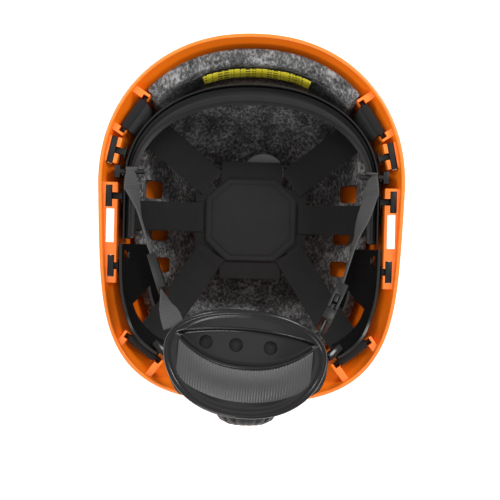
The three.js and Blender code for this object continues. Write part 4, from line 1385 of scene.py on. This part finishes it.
def lensUpper(u):
    share = min(abs(u) / cup["lensTip"], 1) ** 2
    return cup["lensTop"] + (cup["lensTipW"] - cup["lensTop"]) * share


def lensDepth(u, w):
    inside = min(w - lensUpper(u), lensLower(u) - w)
    return cup["lensDeep"] * step01(inside, -0.5, 3.0)


def cupTop(u, w, share):
    lip = 1.4 * step01(share, 0.86, 0.95)
    return cupHeight(u, w) - lensDepth(u, w) + lip


def makeCupBody():
    around, rings = 220, 56
    columns = []
    for n in range(around):
        u, w = cupEdge(2 * math.pi * n / around)
        shares = [1 - k / rings for k in range(rings)]
        top = [cupPoint(u * s, w * s, cupTop(u * s, w * s, s)) for s in shares]
        low = [cupPoint(u * s, w * s, cupTop(u * s, w * s, s) - cup["wall"]) for s in shares]
        columns.append(top[::-1] + low)
    crest = cupTop(0, 0, 0)
    piece = newPiece("chin_cup_moulded", *wrap(
        columns, cupPoint(0, 0, crest), cupPoint(0, 0, crest - cup["wall"])), "gloss", 50)
    drills = []
    for u in cup["holes"]:
        place = cupPoint(u, cup["holeW"], 0)
        drills.append(rod(place, place + up * 40, cup["holeRadius"], 40))
    carve(piece, newPiece("drills", *together(*drills), "gloss"))
    rim = [cupPoint(*cupEdge(2 * math.pi * n / 200), 0) for n in range(200)]
    for n, point in enumerate(rim):
        u, w = cupEdge(2 * math.pi * n / 200)
        point.z = cupPoint(0, 0, cupHeight(u, w)).z + 0.2
    parts = [tube(rim, cup["ring"], 14, closed=True)]
    tips = [cup["lensTip"] * (n / 40 - 1) for n in range(81)]
    lower = [cupPoint(u, lensLower(u) + 0.6, cupHeight(u, lensLower(u)) + 0.7) for u in tips]
    parts.append(tube(lower, lambda s: 0.5 + 1.1 * math.sin(math.pi * s) ** 0.5, 12))
    upper = [cupPoint(u, lensUpper(u), cupHeight(u, lensUpper(u)) + 0.1) for u in tips]
    parts.append(tube(upper, lambda s: 0.3 + 0.5 * math.sin(math.pi * s) ** 0.5, 10))
    trim = newPiece("cupTrim", *together(*parts), "gloss")
    joinPieces(piece, trim)
    dress(piece, "gloss", "chin_cup")


def makeCupLining():
    around, rings = 120, 24
    columns = []
    for n in range(around):
        u, w = [value * 0.8 for value in cupEdge(2 * math.pi * n / around)]
        column = []
        for deep in (2.8, 4.8):
            shares = [k / rings for k in range(1, rings + 1)]
            line = []
            for s in shares:
                height = cupTop(u * s, w * s, 0) - deep - 0.6 * s ** 8 * (deep < 4)
                line.append(cupPoint(u * s, w * s, height))
            column += line if deep < 4 else line[::-1]
        columns.append(column)
    crest = cupTop(0, 0, 0)
    piece = newPiece("cup_lining_cloth", *wrap(
        columns, cupPoint(0, 0, crest - 2.8), cupPoint(0, 0, crest - 4.8)), "pad", 60)
    dress(piece, "pad", "cup_lining")


def joinPieces(piece, *others):
    work = bmesh.new()
    work.from_mesh(piece.data)
    for other in others:
        work.from_mesh(other.data)
        bpy.data.objects.remove(other)
    work.to_mesh(piece.data)
    work.free()
    tidyMesh(piece.data, 50)


def makeCupWebbing():
    # the ribbed strap that runs through the cup and swells out of it
    steps = int(2 * cup["bandTip"] / cup["ribs"] * 6)
    rings, places = [], []
    across = 18
    for n in range(steps + 1):
        u = cup["bandTip"] * (2 * n / steps - 1)
        share = abs(u) / cup["bandTip"]
        start = lensLower(u) + 1.4
        end = cup["bandLow"] - 13.0 * share ** 2.2
        rib = cup["ribDeep"] * math.cos(2 * math.pi * u / cup["ribs"])
        ring = []
        for level in (0, 1):
            line = range(across + 1) if level else range(across, -1, -1)
            for k in line:
                s = k / across
                w = start + (end - start) * s
                edge = (4 * s * (1 - s)) ** 0.35
                height = cupHeight(u, w) + 0.5
                if level:
                    swell = cup["bulge"] * math.sin(math.pi * s) * (1 - share ** 4)
                    height += (0.6 + swell + rib) * edge
                ring.append(cupPoint(u, w, height))
                places.append((u, w, 0))
        rings.append(ring)
    points, faces = loft(rings)
    piece = newPiece("cup_webbing_ribbed", points, faces, "cupWeb", 60)
    if len(piece.data.vertices) == len(places):
        notePlaces(piece, places)
    dress(piece, "cupWeb", "cup_webbing")


makeCupBody()
makeCupLining()
makeCupWebbing()
print("the chin cup is in place")
